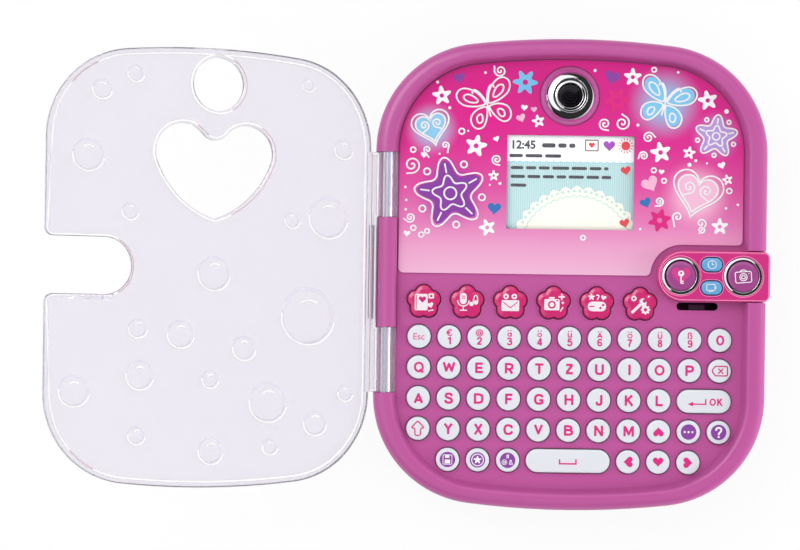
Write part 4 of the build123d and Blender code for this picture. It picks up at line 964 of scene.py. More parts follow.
# Plain bold capitals and figures on a height of 1: straight lines (l), curves (c) and rings (o)
stem = ("l", (0.1, 0), (0.1, 1))
bowl = ("c", (0.1, 0.9), (0.44, 0.9), (0.62, 0.82), (0.62, 0.51), (0.44, 0.42), (0.1, 0.42))
letterStrokes = {
    "A": (("l", (0.05, 0), (0.35, 0.84), (0.65, 0)), ("l", (0.16, 0.27), (0.54, 0.27))),
    "B": (stem, ("c", (0.1, 0.9), (0.44, 0.9), (0.6, 0.82), (0.6, 0.6), (0.44, 0.54), (0.1, 0.54)),
          ("c", (0.1, 0.53), (0.48, 0.53), (0.66, 0.44), (0.66, 0.18), (0.48, 0.1), (0.1, 0.1))),
    "C": (("c", (0.7, 0.66), (0.62, 0.86), (0.42, 0.92), (0.2, 0.88), (0.09, 0.68), (0.09, 0.32), (0.2, 0.12),
           (0.42, 0.08), (0.62, 0.14), (0.71, 0.35)),),
    "D": (stem, ("c", (0.1, 0.9), (0.46, 0.9), (0.68, 0.8), (0.7, 0.5), (0.68, 0.2), (0.46, 0.1),
                 (0.1, 0.1))),
    "E": (stem, ("l", (0.1, 0.9), (0.62, 0.9)), ("l", (0.1, 0.5), (0.58, 0.5)),
          ("l", (0.1, 0.1), (0.64, 0.1))),
    "F": (stem, ("l", (0.1, 0.9), (0.6, 0.9)), ("l", (0.1, 0.48), (0.54, 0.48))),
    "G": (("c", (0.7, 0.7), (0.62, 0.87), (0.42, 0.92), (0.2, 0.88), (0.09, 0.68), (0.09, 0.32),
           (0.2, 0.12), (0.42, 0.08), (0.6, 0.12), (0.68, 0.2)), ("l", (0.42, 0.42), (0.77, 0.42)),
          ("l", (0.68, 0.46), (0.68, 0.1))),
    "H": (stem, ("l", (0.64, 0), (0.64, 1)), ("l", (0.1, 0.52), (0.64, 0.52))),
    "I": (stem,),
    "J": (("c", (0.46, 1), (0.46, 0.5), (0.46, 0.22), (0.4, 0.08), (0.2, 0.07), (0.1, 0.14), (0.09, 0.34)),),
    "K": (stem, ("l", (0.6, 1), (0.12, 0.42)), ("l", (0.26, 0.56), (0.64, 0))),
    "L": (stem, ("l", (0.1, 0.1), (0.6, 0.1))),
    "M": (stem, ("l", (0.76, 0), (0.76, 1)), ("l", (0.14, 0.92), (0.43, 0.2), (0.72, 0.92))),
    "N": (stem, ("l", (0.64, 0), (0.64, 1)), ("l", (0.12, 0.92), (0.62, 0.08))),
    "O": (("o", (0.41, 0.5), (0.32, 0.41)),),
    "P": (stem, bowl),
    "Q": (("o", (0.41, 0.5), (0.32, 0.41)), ("l", (0.46, 0.28), (0.76, -0.02))),
    "R": (stem, bowl, ("l", (0.34, 0.42), (0.62, 0))),
    "S": (("c", (0.6, 0.7), (0.54, 0.9), (0.34, 0.93), (0.13, 0.9), (0.1, 0.66), (0.22, 0.57), (0.4, 0.51),
           (0.58, 0.43), (0.62, 0.2), (0.5, 0.08), (0.32, 0.07), (0.12, 0.11), (0.07, 0.32)),),
    "T": (("l", (0, 0.9), (0.68, 0.9)), ("l", (0.34, 0), (0.34, 0.9))),
    "U": (("c", (0.1, 1), (0.1, 0.6), (0.1, 0.22), (0.2, 0.08), (0.37, 0.08), (0.54, 0.08), (0.64, 0.22),
           (0.64, 0.6), (0.64, 1)),),
    "V": (("l", (0.06, 1), (0.35, 0.18), (0.64, 1)),),
    "W": (("l", (0.06, 1), (0.27, 0.18), (0.49, 0.84), (0.71, 0.18), (0.92, 1)),),
    "X": (("l", (0.07, 1), (0.61, 0)), ("l", (0.07, 0), (0.61, 1))),
    "Y": (("l", (0.06, 1), (0.35, 0.52), (0.64, 1)), ("l", (0.35, 0.56), (0.35, 0))),
    "Z": (("l", (0.06, 0.9), (0.6, 0.9)), ("l", (0.56, 0.86), (0.1, 0.14)), ("l", (0.05, 0.1), (0.62, 0.1))),
    "0": (("o", (0.33, 0.5), (0.23, 0.41)),),
    "1": (("l", (0.34, 0), (0.34, 1)), ("l", (0.1, 0.7), (0.34, 0.92))),
    "2": (("c", (0.09, 0.68), (0.14, 0.88), (0.31, 0.92), (0.5, 0.88), (0.53, 0.66), (0.44, 0.5), (0.2, 0.26),
           (0.1, 0.1)), ("l", (0.04, 0.1), (0.58, 0.1))),
    "3": (("c", (0.09, 0.76), (0.16, 0.9), (0.32, 0.92), (0.5, 0.86), (0.5, 0.62), (0.38, 0.54),
           (0.22, 0.53)), ("c", (0.22, 0.53), (0.42, 0.53), (0.56, 0.42), (0.53, 0.14), (0.32, 0.08),
                           (0.14, 0.11), (0.07, 0.26))),
    "4": (("l", (0.44, 0), (0.44, 1)), ("l", (0.42, 0.94), (0.08, 0.32)), ("l", (0.02, 0.26), (0.6, 0.26))),
    "5": (("l", (0.12, 0.9), (0.54, 0.9)), ("l", (0.17, 0.92), (0.12, 0.5)),
          ("c", (0.11, 0.5), (0.22, 0.6), (0.42, 0.6), (0.56, 0.48), (0.54, 0.2), (0.42, 0.09), (0.24, 0.08),
           (0.12, 0.12), (0.06, 0.26))),
    "6": (("o", (0.32, 0.31), (0.21, 0.22)), ("c", (0.54, 0.78), (0.46, 0.92), (0.3, 0.92), (0.13, 0.82),
                                              (0.1, 0.56), (0.11, 0.32))),
    "7": (("l", (0.04, 0.9), (0.56, 0.9)), ("c", (0.52, 0.88), (0.36, 0.56), (0.27, 0.3), (0.24, 0))),
    "8": (("o", (0.31, 0.73), (0.18, 0.18)), ("o", (0.31, 0.29), (0.22, 0.2))),
    "9": (("o", (0.3, 0.69), (0.21, 0.22)), ("c", (0.08, 0.22), (0.16, 0.08), (0.32, 0.08), (0.49, 0.18),
                                             (0.52, 0.44), (0.51, 0.68))),
    "?": (("c", (0.08, 0.66), (0.12, 0.88), (0.33, 0.94), (0.54, 0.88), (0.58, 0.66), (0.46, 0.52),
           (0.35, 0.42), (0.33, 0.26)), ("l", (0.33, 0), (0.33, 0.17))),
    "€": (("c", (0.7, 0.76), (0.6, 0.92), (0.4, 0.93), (0.18, 0.8), (0.14, 0.5), (0.18, 0.2), (0.4, 0.07),
           (0.6, 0.08), (0.7, 0.24)), ("l", (0, 0.6), (0.52, 0.6)), ("l", (0, 0.4), (0.48, 0.4))),
    "@": (("o", (0.5, 0.5), (0.44, 0.46)), ("o", (0.46, 0.48), (0.17, 0.19)),
          ("l", (0.68, 0.7), (0.68, 0.26))),
    "ä": (("o", (0.3, 0.31), (0.21, 0.23)), ("l", (0.54, 0.63), (0.54, 0)), *dots(0.32)),
    "ö": (("o", (0.32, 0.32), (0.25, 0.24)), *dots(0.32)),
    "ü": (("c", (0.1, 0.64), (0.1, 0.22), (0.14, 0.07), (0.3, 0.07), (0.46, 0.1), (0.5, 0.3)),
          ("l", (0.52, 0.64), (0.52, 0)), *dots(0.32)),
    "Ä": (("l", (0.04, 0), (0.34, 0.68), (0.64, 0)), ("l", (0.16, 0.22), (0.52, 0.22)), *dots(0.34)),
    "Ö": (("o", (0.36, 0.35), (0.28, 0.28)), *dots(0.36)),
    "Ü": (("c", (0.1, 0.7), (0.1, 0.4), (0.1, 0.16), (0.2, 0.07), (0.34, 0.07), (0.48, 0.07), (0.58, 0.16),
           (0.58, 0.4), (0.58, 0.7)), *dots(0.34)),
    "ß": (("c", (0.1, 0), (0.1, 0.6), (0.12, 0.9), (0.34, 0.94), (0.52, 0.84), (0.46, 0.6), (0.34, 0.54)),
          ("c", (0.34, 0.54), (0.58, 0.46), (0.6, 0.2), (0.48, 0.07), (0.3, 0.08))),
    "&": (("c", (0.72, 0), (0.2, 0.62), (0.14, 0.82), (0.32, 0.94), (0.48, 0.8), (0.4, 0.6), (0.12, 0.4),
           (0.06, 0.18), (0.22, 0.06), (0.46, 0.1), (0.68, 0.44)),),
    "#": (("l", (0.2, 0.05), (0.28, 0.95)), ("l", (0.48, 0.05), (0.56, 0.95)),
          ("l", (0.04, 0.34), (0.66, 0.34)), ("l", (0.08, 0.66), (0.7, 0.66))),
}


def rounded(points):
    # cut the corners of an open line three times, its ends kept
    for _ in range(3):
        cut = [points[0]]
        for (ax, ay), (bx, by) in zip(points, points[1:]):
            cut += [(near * ax + (1 - near) * bx, near * ay + (1 - near) * by) for near in (0.75, 0.25)]
        points = cut + [points[-1]]
    return points


def band(points, width):
    # the outline of a stroke of one width along a line, with blunted mitres
    left, right = [], []
    for n, point in enumerate(points):
        here = Vector(point)
        inward = here - Vector(points[n - 1]) if n else Vector(points[1]) - here
        onward = Vector(points[n + 1]) - here if n < len(points) - 1 else inward
        inward, onward = inward.normalized(), onward.normalized()
        across = Vector((-inward.y - onward.y, inward.x + onward.x)).normalized()
        reach = width / 2 / max(across.dot(Vector((-inward.y, inward.x))), 0.55)
        left.append(tuple(here + across * reach))
        right.append(tuple(here - across * reach))
    return left + right[::-1]


def stretched(start, end, before, after):
    along = (Vector(end) - Vector(start)).normalized()
    return [tuple(Vector(start) - along * before), tuple(Vector(end) + along * after)]


def letterOutlines(letter, weight, wide):
    # each stroke of a letter, as outlines: one for a line, an outer and an inner one for a ring
    made = []
    for kind, *points in letterStrokes[letter]:
        points = [(x * wide, y) for x, y in points]
        if kind == "o":
            (cx, cy), (rx, ry) = points
            grows = (weight / 2 - 0.01, -weight / 2 + 0.01)
            turns = [2 * pi * n / 32 for n in range(32)]
            made.append([[(cx + (rx + grow) * cos(turn), cy + (ry + grow) * sin(turn)) for turn in turns]
                         for grow in grows])
        elif kind == "c":
            made.append([band(rounded(points), weight)])
        else:
            overlap = weight * 0.3
            for n, (start, end) in enumerate(zip(points, points[1:])):
                line = stretched(start, end, overlap * (n > 0), overlap * (n < len(points) - 2))
                made.append([band(line, weight)])
    return made


def letters(name, text, height, place, level, weight, space=0.14, wide=1.0):
    # a word in those strokes, centred on a place; strokes sit a hair apart so that none share a face
    outlines, cursor = [], 0.0
    for letter in text:
        made = letterOutlines(letter, weight, wide)
        across = [x for stroke in made for outline in stroke for x, y in outline]
        left, right = min(across), max(across)
        outlines += [[[(x - left + cursor, y) for x, y in outline] for outline in stroke] for stroke in made]
        cursor += right - left + space
    shift = (place[0] - (cursor - space) * height / 2, place[1] - height / 2)
    strokes = []
    for n, stroke in enumerate(outlines):
        placed = [moved(outline, shift, height) for outline in stroke]
        strokes.append(filledShapes("stroke", placed, level + 0.002 * n))
    return joinPieces(strokes, name)


def keyMark(kind, letter, x, y):
    height, up, weight, wide = legends[kind]
    return letters(kind, letter, height, (x, y + up), legendLevel, weight, wide=wide)


def legend(nodeName, pieces, material, kind="legend"):
    layInk(joinPieces(pieces, f"{nodeName}_{kind}"), material, f"{nodeName}_body")


def magentaLegend(nodeName, *pieces):
    legend(nodeName, pieces, magentaInk)


def whiteLegend(nodeName, *pieces):
    legend(nodeName, pieces, whiteInk)


for nodeName, (row, columns, marks) in keyRows.items():
    made = []
    for n, (column, letter) in enumerate(zip(columns, marks)):
        x, y = keyPlace(row, column)
        if nodeName != "digit_keys":
            wanted = (("letter", letter),)
        elif signs[n]:
            wanted = (("digit", letter), ("sign", signs[n]))
        else:
            wanted = (("lone digit", letter),)
        made += [keyMark(kind, mark, x + legends["shift"], y) for kind, mark in wanted]
    magentaLegend(nodeName, *made)

here = {name: keyPlace(*place) for name, place in singleKeys.items()}
magentaLegend("escape_key", words("escape", "Esc", 2.5, 0.01, here["escape_key"], legendLevel))

deleteMark = [
    ([(-3.1, 0), (-1.6, 1.8), (-1.4, 1.85), (2.4, 1.85), (3.0, 1.75), (3.1, 1.2), (3.1, -1.2),
      (3.0, -1.75), (2.4, -1.85), (-1.4, -1.85), (-1.6, -1.8)], True),
    ([(-0.5, 1.0), (1.5, -1.0)], False),
    ([(-0.5, -1.0), (1.5, 1.0)], False),
]
shiftMark = [([(-2.3, 0.4), (-2.2, 0.6), (-0.2, 2.8), (0.2, 2.8), (2.2, 0.6), (2.3, 0.4), (2.0, 0.1),
               (1.1, 0.1), (1.1, -2.2), (0.9, -2.7), (-0.9, -2.7), (-1.1, -2.2), (-1.1, 0.1), (-2.0, 0.1)],
              True)]
for nodeName, paths in (("delete_key", deleteMark), ("shift_key", shiftMark)):
    paths = [(moved(points, here[nodeName]), closed) for points, closed in paths]
    magentaLegend(nodeName, lineWork("lineMark", paths, 0.5, legendLevel))

for nodeName, turn in (("up_key", pi), ("left_key", -pi / 2), ("down_key", 0), ("right_key", pi / 2)):
    magentaLegend(nodeName, filledShapes("heartMark", [heartShape(here[nodeName], 4.1, turn)], legendLevel))

for nodeName in ("more_key", "help_key", "save_key", "faces_key", "signs_key"):
    disc = filledShapes("disc", [roundel(here[nodeName], 3.0, 36)], legendLevel)
    legend(nodeName, [disc], purpleInk, "disc")

x, y = here["more_key"]
threeDots = [roundel((x + step, y), 0.42, 14) for step in (-1.5, 0, 1.5)]
whiteLegend("more_key", filledShapes("dots", threeDots, upperLevel))
whiteLegend("help_key", letters("help", "?", 4.2, here["help_key"], upperLevel, 0.17))
x, y = here["save_key"]
diskMark = [roundedBox((x, y), 3.7, 3.9, 0.5), roundedBox((x, y), 3.2, 3.4, 0.35),
            roundedBox((x, y - 0.75), 2.1, 1.5, 0.12), roundedBox((x - 0.1, y + 1.15), 1.7, 1.0, 0.12)]
whiteLegend("save_key", filledShapes("disk", diskMark, upperLevel))
place = here["faces_key"]
whiteLegend("faces_key", filledShapes("ring", [roundel(place, 2.45), roundel(place, 2.1)], upperLevel),
            filledShapes("star", [starShape(place, 1.6)], upperLevel))
x, y = here["signs_key"]
whiteLegend("signs_key", letters("signAt", "@", 2.1, (x - 1.25, y - 0.75), upperLevel, 0.13),
            letters("signAnd", "&", 2.0, (x + 1.35, y - 0.75), upperLevel, 0.15),
            letters("signHash", "#", 1.8, (x, y + 1.5), upperLevel, 0.12))

x, y = middle("enter_key")
arrowHead = [(-6.4, -1.05), (-4.2, -0.15), (-4.2, -1.95)]
arrowArm = [(-4.3, -0.78), (-4.3, -1.3), (0.95, -1.3), (0.95, 0.95), (0.4, 0.95), (0.4, -0.78)]
magentaLegend("enter_key", filledShapes("enterHead", [moved(arrowHead, (x, y))], legendLevel),
              filledShapes("enterArm", [moved(arrowArm, (x, y))], legendLevel),
              letters("enterWord", "OK", 2.75, (x + 4.7, y - 0.2), legendLevel, 0.23, 0.16, 1.1))
x, y = middle("space_key")
spaceMark = [(-3.45, 0.95), (-2.9, 0.95), (-2.9, -0.55), (2.9, -0.55), (2.9, 0.95), (3.45, 0.95),
             (3.45, -1.15), (-3.45, -1.15)]
magentaLegend("space_key", filledShapes("spaceMark", [moved(spaceMark, (x, y - 0.2))], legendLevel))
print("key legends made")


# flower buttons, each with its own white picture

flowerFoot, flowerTop = levels("diary_button")
flowerCap = cap("flowerMaster", 6.0, flowerFoot, flowerTop, flowers["bevel"], flowers["crown"], 0.0,
                lambda angle: flowerReach(angle, flowers["skin"]), flowers["sides"])
flowerBar = bar("flowerBar", keys["barWidth"], (flowerHigh.y - flowerLow.y) / mm, flowerFoot)
flowerMaster = joinPieces([flowerCap, flowerBar], "flowerMaster")
for nodeName, (x, y) in zip(flowers["names"], flowerPlaces):
    finishPiece(copyPiece(flowerMaster, f"{nodeName}_petals", x, y), flowerAbs, f"{nodeName}_body",
                (nodeName,))
discard(flowerMaster)

pictureLevel = flowerTop + inkThickness / 2
note = [(0.0, 0.0), (0.0, 2.6), (1.5, 3.0), (1.5, 0.5)]
spanner = [(-3.2, -2.6), (-2.5, -3.2), (0.4, -0.4), (1.3, -0.6), (2.1, 0.0), (2.2, 1.0), (1.5, 0.5),
           (0.9, 0.8), (0.8, 1.4), (1.5, 2.0), (0.5, 2.1), (-0.2, 1.4), (-0.2, 0.4)]
smallBall = [roundel((0, 0), 0.95, 18), roundel((0, 0), 0.4, 12)]
flap = [(-2.5, 0.4), (0.0, -1.5), (2.5, 0.4), (2.5, 0.05), (0.0, -1.95), (-2.5, 0.05)]
pictures = {
    # name: (filled shapes, each an outline with its holes; strokes as (points, closed))
    "diary_button": (
        [[roundedBox((-0.9, -0.2), 4.4, 5.6, 0.5), heartShape((-0.5, 0.6), 2.5),
          roundedBox((-2.6, -0.2), 0.3, 5.0, 0.1)],
         [roundedBox((2.5, 1.9), 1.9, 1.7, 0.3), roundel((2.5, 1.9), 0.45, 10)],
         [heartShape((2.3, -1.3), 2.1, 0.3)]],
        [([(1.5, -3.2), (3.3, -2.8)], False)]),
    "voice_button": (
        [[roundedBox((-1.3, 1.2), 2.3, 3.8, 1.1), roundedBox((-1.3, 2.0), 1.3, 0.3, 0.1),
          roundedBox((-1.3, 1.3), 1.3, 0.3, 0.1)],
         [roundel((1.5, -0.6), 0.75, 14)],
         [roundel((3.0, -0.1), 0.75, 14)]],
        [arc((-1.3, 0.6), 2.0, pi, 2 * pi), ([(-1.3, -1.4), (-1.3, -2.7)], False),
         ([(-2.5, -2.8), (0.0, -2.8)], False), (moved(note, (2.1, -0.5)), False)]),
    "contacts_button": (
        [[roundedBox((0, -1.0), 6.0, 3.7, 0.4), flap],
         [moved(ball, (-1.5, 2.1)) for ball in smallBall],
         [moved(ball, (1.3, 2.1)) for ball in smallBall]],
        [([(-2.6, -2.4), (-1.0, -1.3)], False)]),
    "photos_button": (
        [[roundedBox((-0.6, -0.5), 5.2, 3.8, 0.5), roundel((-0.6, -0.5), 1.35, 20),
          roundedBox((1.2, 0.9), 0.7, 0.4, 0.1)],
         [roundel((-0.6, -0.5), 0.8, 16)],
         [roundedBox((-0.7, 1.8), 2.0, 0.6, 0.2)],
         [starShape((2.7, 2.2), 1.2, 4, 0.35)],
         [starShape((3.1, 0.2), 0.6, 4, 0.4)]],
        [([(2.3, -2.7), (3.2, -1.3)], False)]),
    "games_button": (
        [[roundedBox((0, -0.9), 6.2, 3.3, 1.5), roundedBox((-1.7, -0.9), 1.7, 0.42, 0.1),
          roundel((1.2, -1.4), 0.42, 10), roundel((2.1, -0.4), 0.42, 10)],
         [starShape((-1.9, 2.3), 1.2, 5, 0.5)],
         [heartShape((2.2, 2.0), 1.8, -0.2)]],
        [([(-0.3, 2.9), (0.5, 3.1), (0.7, 2.4), (0.2, 1.9), (0.2, 1.3)], False)]),
    "tools_button": (
        [[spanner],
         [starShape((1.8, -1.8), 1.7, 8, 0.76), roundel((1.8, -1.8), 0.6, 12)],
         [roundel((-2.2, 2.0), 0.95, 16), roundel((-2.2, 2.0), 0.42, 12)]],
        [([(2.6, 2.4), (3.2, 3.0)], False)]),
}
for nodeName, place in zip(flowers["names"], flowerPlaces):
    fills, paths = pictures[nodeName]
    size = flowers["pictureSize"]
    made = [filledShapes("fill", [moved(outline, place, size) for outline in shape], pictureLevel + 0.003 * n)
            for n, shape in enumerate(fills)]
    paths = [(moved(points, place, size), closed) for points, closed in paths]
    made.append(lineWork("strokes", paths, 0.5, pictureLevel + 0.012))
    layInk(joinPieces(made, f"{nodeName}_picture"), greyInk, f"{nodeName}_body")
print("flower buttons made")


# the pod's rings, buttons and their pictures

pod = {
    "ringWidth": 1.3,
    "round": {"unlock_button": 5.75, "shutter_button": 5.95},  # the caps' radii
    "pills": ("clock_button", "gallery_button"),
    "pillLength": 8.0,
    "pillWidth": 5.2,
    "bevel": 0.45,
    "crown": 0.18,
    "corner": 1.6,
    # painted highlight lines and painted gap shade lines on the pod's top: how far outside an opening, or
    # inside the pod's edge, each starts and ends
    "lineLift": 0.012,
    "edgeLight": (0.5, 0.85),
    "pillLight": (0.75, 0.48),
    "pillGap": (0.46, 0.285),
    "ringLight": (0.62, 0.36),
    "rings": {"unlock_ring": 7.3, "shutter_ring": 7.5},  # the openings' radii
}


def ringPiece(nodeName):
    # a plated ring: a rolled lip inside, a slope outwards and a step under it
    foot, top = levels(nodeName)
    low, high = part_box(nodeName)
    outer = (high.x - low.x) / 2 / mm
    inner = outer - pod["ringWidth"]
    profile = [(inner, top - 0.6), (inner, top - 0.22), (inner + 0.06, top - 0.05), (inner + 0.16, top),
               (inner + 0.5, top - 0.07), (inner + 0.8, top - 0.14), (inner + 1.04, top - 0.22),
               (outer - 0.14, top - 0.32), (outer, top - 0.46), (outer, foot), (inner + 0.35, foot),
               (inner + 0.35, top - 0.6)]
    ring = turned(f"{nodeName}_plated", profile, middle(nodeName))
    finishPiece(ring, chromePlate, "case", (nodeName,))


def podButton(nodeName, radius, material, stretch=0.0):
    # the cap, with the flange that keeps it in the pod
    low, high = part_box(nodeName)
    foot, top = levels(nodeName)
    length, width = keys["barWidth"], (high.y - low.y) / mm
    if stretch:
        length, width = (high.x - low.x) / mm, keys["barWidth"]
    piece = joinPieces([cap("podCap", radius, foot, top, pod["bevel"], pod["crown"], stretch),
                        bar("podBar", length, width, foot)], f"{nodeName}_cap")
    shiftPiece(piece, *middle(nodeName))
    finishPiece(piece, material, f"{nodeName}_body", (nodeName,))


for nodeName in pod["rings"]:
    ringPiece(nodeName)
for nodeName, radius in pod["round"].items():
    podButton(nodeName, radius, purpleAbs)
for nodeName in pod["pills"]:
    podButton(nodeName, pod["pillWidth"] / 2, blueAbs, pod["pillLength"] - pod["pillWidth"])


def podOutline(inset, count=24):
    # the pod seen from above: a round left end and small corners at the right
    low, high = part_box("button_pod")
    left, right, half = low.x / mm, high.x / mm, high.y / mm
    reach, corner = half - inset, pod["corner"]
    turns = [pi * n / count for n in range(count + 1)]
    points = [(left + half - reach * sin(turn), reach * cos(turn)) for turn in turns]
    for side, start in ((-1, -90), (1, 0)):
        centre = (right - inset - corner, side * reach - side * corner)
        points += [around(centre, corner, radians(start + 90 * n / 6)) for n in range(7)]
    return points


def pill(place, grow):
    width = pod["pillWidth"] + 2 * grow
    return roundedBox(place, pod["pillLength"] + 2 * grow, width, width / 2 - 0.01, count=10)


# painted highlights on the pod's own edge and round its openings, where their rounded edges catch the light,
# with painted shade in the pill gaps inside them
lineLevel = levels("button_pod")[1] + pod["lineLift"]
lightLines = [filledShapes("podEdge", [podOutline(inset) for inset in pod["edgeLight"]], lineLevel)]
darkLines = []
for place in [middle(nodeName) for nodeName in pod["pills"]]:
    lightLines.append(filledShapes("pillEdge", [pill(place, grow) for grow in pod["pillLight"]], lineLevel))
    darkLines.append(filledShapes("pillGap", [pill(place, grow) for grow in pod["pillGap"]], lineLevel))
for nodeName, reach in pod["rings"].items():
    loops = [roundel(middle(nodeName), reach + grow, 48) for grow in pod["ringLight"]]
    lightLines.append(filledShapes("ringEdge", loops, lineLevel))
layInk(joinPieces(lightLines, "pod_painted_highlights"), podHighlightInk, "case")
layInk(joinPieces(darkLines, "pod_painted_gap_shade"), podGapShadeInk, "case")

podLevel = levels("unlock_button")[1] + inkThickness / 2
x, y = middle("unlock_button")
heart = filledShapes("unlock_button_heart", [heartShape((x, y - 0.2), 7.6)], podLevel)
layInk(heart, heartInk, "unlock_button_body")
keyPicture = [[roundel((0, 0.9), 1.15, 20), roundel((0, 1.1), 0.48, 14)],
              [roundedBox((0, -1.6), 0.5, 3.0, 0.15)],
              [roundedBox((0.55, -2.1), 0.9, 0.42, 0.1)], [roundedBox((0.55, -2.85), 1.1, 0.42, 0.1)]]
parts = [filledShapes("keyPart", [moved(outline, (x, y)) for outline in shape], podLevel + inkThickness)
         for shape in keyPicture]
layInk(joinPieces(parts, "unlock_button_key"), whiteInk, "unlock_button_body")
podPictures = {
    # name: (ink, line width, turn, strokes as (points, closed))
    "shutter_button": (whiteInk, 0.36, 0.08, [
        (roundedBox((0, -0.2), 6.2, 4.2, 0.6), True), (roundel((0, -0.2), 1.4, 20), True),
        (roundel((0, -0.2), 0.7, 14), True), ([(-1.2, 1.95), (-0.9, 2.6), (1.0, 2.6), (1.3, 1.95)], False),
        ([(2.0, 1.1), (2.4, 1.1)], False)]),
    "clock_button": (greyInk, 0.34, 0, [
        (roundel((0, 0), 1.6, 20), True), ([(0, 1.0), (0, 0), (0, 0), (0.8, 0)], False)]),
    "gallery_button": (greyInk, 0.34, 0, [
        (roundedBox((-0.4, 0.2), 3.2, 2.3, 0.25), True), ([(1.6, 0.6), (1.8, -1.3), (-1.2, -1.5)], False)]),
}
for nodeName, (ink, width, turn, paths) in podPictures.items():
    paths = [(moved(points, middle(nodeName), 1, turn), closed) for points, closed in paths]
    layInk(lineWork(f"{nodeName}_picture", paths, width, podLevel), ink, f"{nodeName}_body")
print("pod made")


# camera: plated bezel and its lens

camera = {
    "bezel": [(8.3, 26.4), (8.3, 28.22), (9.28, 28.22), (9.28, 28.36), (8.78, 28.82), (8.6, 28.96),
              (8.3, 29.16), (8.0, 29.34), (7.6, 29.55), (7.2, 29.73), (6.86, 29.85), (6.8, 29.89),
              (6.72, 29.9), (6.64, 29.87), (6.6, 29.78), (6.6, 28.6), (5.98, 28.6), (5.98, 28.94),
              (5.88, 29.04), (5.5, 29.12), (5.1, 29.2), (4.95, 29.22), (4.84, 29.17), (4.76, 29.05),
              (4.72, 28.9), (4.7, 28.5), (5.62, 28.48), (5.62, 26.4)],
    "collar": [(11.56, 25.5), (11.5, 25.66), (10.9, 26.42), (10.2, 27.3), (9.72, 27.9), (9.5, 28.16),
               (9.36, 28.22), (9.3, 28.18), (9.3, 27.6), (11.0, 25.5)],
    "lens": [(0, 28.6), (1.5, 28.55), (3.0, 28.38), (4.2, 28.18), (5.1, 27.98), (5.45, 27.8), (5.5, 27.6),
             (5.5, 26.4), (0, 26.4)],
}
bezel = turned("camera_bezel_plated", camera["bezel"], middle("camera_bezel"), 96)
finishPiece(bezel, chromePlate, "case", ("camera_bezel",))
# a glossy skin on the case's collar, painted lighter than the case for the light it catches
collar = turned("camera_collar_skin", camera["collar"], middle("camera_bezel"), 96)
finishPiece(collar, collarLighterAbs, "case")
lens = turned("camera_lens_glass", camera["lens"], middle("camera_lens"), 64, closed=False)
finishPiece(lens, lensGlass, "case", ("camera_lens",))
print("camera made")


# printed panel: a design of hearts, stars, butterflies and curls

panelLevel = case["panelTop"] + inkThickness / 2
panelArt = {
    "lineWidth": 0.68,
    # where the small motifs may lie: inside the panel's sides and round corners, clear of the rest
    "side": 66.8,
    "top": 82.0,
    "low": 13.5,  # the pale foot of the panel stays bare
    "cornerMiddle": (32.8, 48.3),
    "cornerRadius": 34.0,
    "margin": 0.9,
    "display": {"middle": -0.4, "half": 25.6, "low": 16.4, "high": 55.2},
    "podCorner": (27, 14.5),
    "cameraRoom": 12.4,
    "apart": 0.7,
    "seed": 11,
    "tries": 600,
    # the large motifs: (place, size, turn, colour of the fill)
    "hearts": (((48.5, 31.5), 20, -0.25, "#f3bcd8"), ((-54.5, 56), 15, 0.25, "#8ecbee")),
    "stars": (((-47, 31), 14.4, 0.2, "#8a3fa3"), ((56, 54.5), 8.6, -0.1, "#b69adb")),
    "butterflies": (((36, 67), 1.35, -0.3, "#7fc8ee"), ((-33, 65.5), 1.32, 0.3, "#db1b84")),
    # how far each reaches from its place: (share of its size, and more)
    "heartRoom": (0.5, 0.6),
    "starRoom": (1.0, 0.0),
    "butterflyRoom": (8.4, 0.0),
    # the small ones, strewn in the gaps: sizes of each kind
    "small": {
        "pinkStars": (5.2, 4.6),
        "skyStars": (5.0,),
        "paleHearts": (6.6, 3.6, 2.4),
        "purpleHearts": (6.0, 4.6),
        "blueHearts": (5.2, 4.4),
        "whiteStars": (4.4, 4.2, 4.0, 3.9, 3.8, 3.6, 3.4, 3.4, 2.6, 2.6, 2.2, 2.2),
        "curls": (3.4, 3.0, 3.0, 2.4, 2.4, 2.2, 2.0, 2.0, 1.8, 1.8),
        "whiteHearts": (3.0, 2.6, 2.6, 2.6, 2.4, 2.2),
        "rings": (1.1,) * 2 + (1.0,) * 4 + (0.9,) * 5,
        "dots": (0.9, 0.8) + (0.6,) * 6 + (0.5,) * 8 + (0.4,) * 4,
    },
}
wings = [  # half of a butterfly in line work, mirrored for the other half
    [(0.3, 0.8), (1.8, 4.6), (5.6, 7.2), (8.4, 5.6), (7.6, 2.2), (4.0, 0.5), (0.8, 0.2)],
    [(0.6, -0.2), (3.8, -0.4), (6.2, -2.4), (5.8, -5.6), (3.2, -6.4), (1.2, -3.8), (0.3, -1.0)],
    [(2.0, 2.0), (4.2, 4.8), (6.4, 4.6), (5.6, 2.6), (3.0, 1.4)],
    [(2.2, -1.8), (4.2, -2.4), (4.2, -4.6), (2.6, -4.4)],
]


def butterfly(place, size, turn):
    paths = []
    for hand in (1, -1):
        paths += [(moved([(hand * x, y) for x, y in wing], place, size, turn), True) for wing in wings]
    for hand in (1, -1):
        feeler = [(hand * 0.2, 1.2), (hand * 0.8, 3.4), (hand * 2.2, 5.4), (hand * 3.4, 5.4),
                  (hand * 3.2, 4.4)]
        paths.append((moved(feeler, place, size, turn), False))
    paths.append((moved([(0, 1.6), (0, -3.6)], place, size, turn), False))
    return paths


def swirlHeart(place, size, turn):
    # a heart in double line with curls inside its lobes and below its tip
    paths = [(heartShape(place, size * share, turn, 30), True) for share in (1, 0.8)]
    for hand in (1, -1):
        inside = curl((hand * 0.17, 0.12), 0.13, 1.5, pi / 2, hand, 0.1)
        below = curl((hand * 0.24, -0.5), 0.1, 1.4, pi / 2, -hand, 0.14)
        paths += [(moved(points, place, size, turn), False) for points, _ in (inside, below)]
    return paths


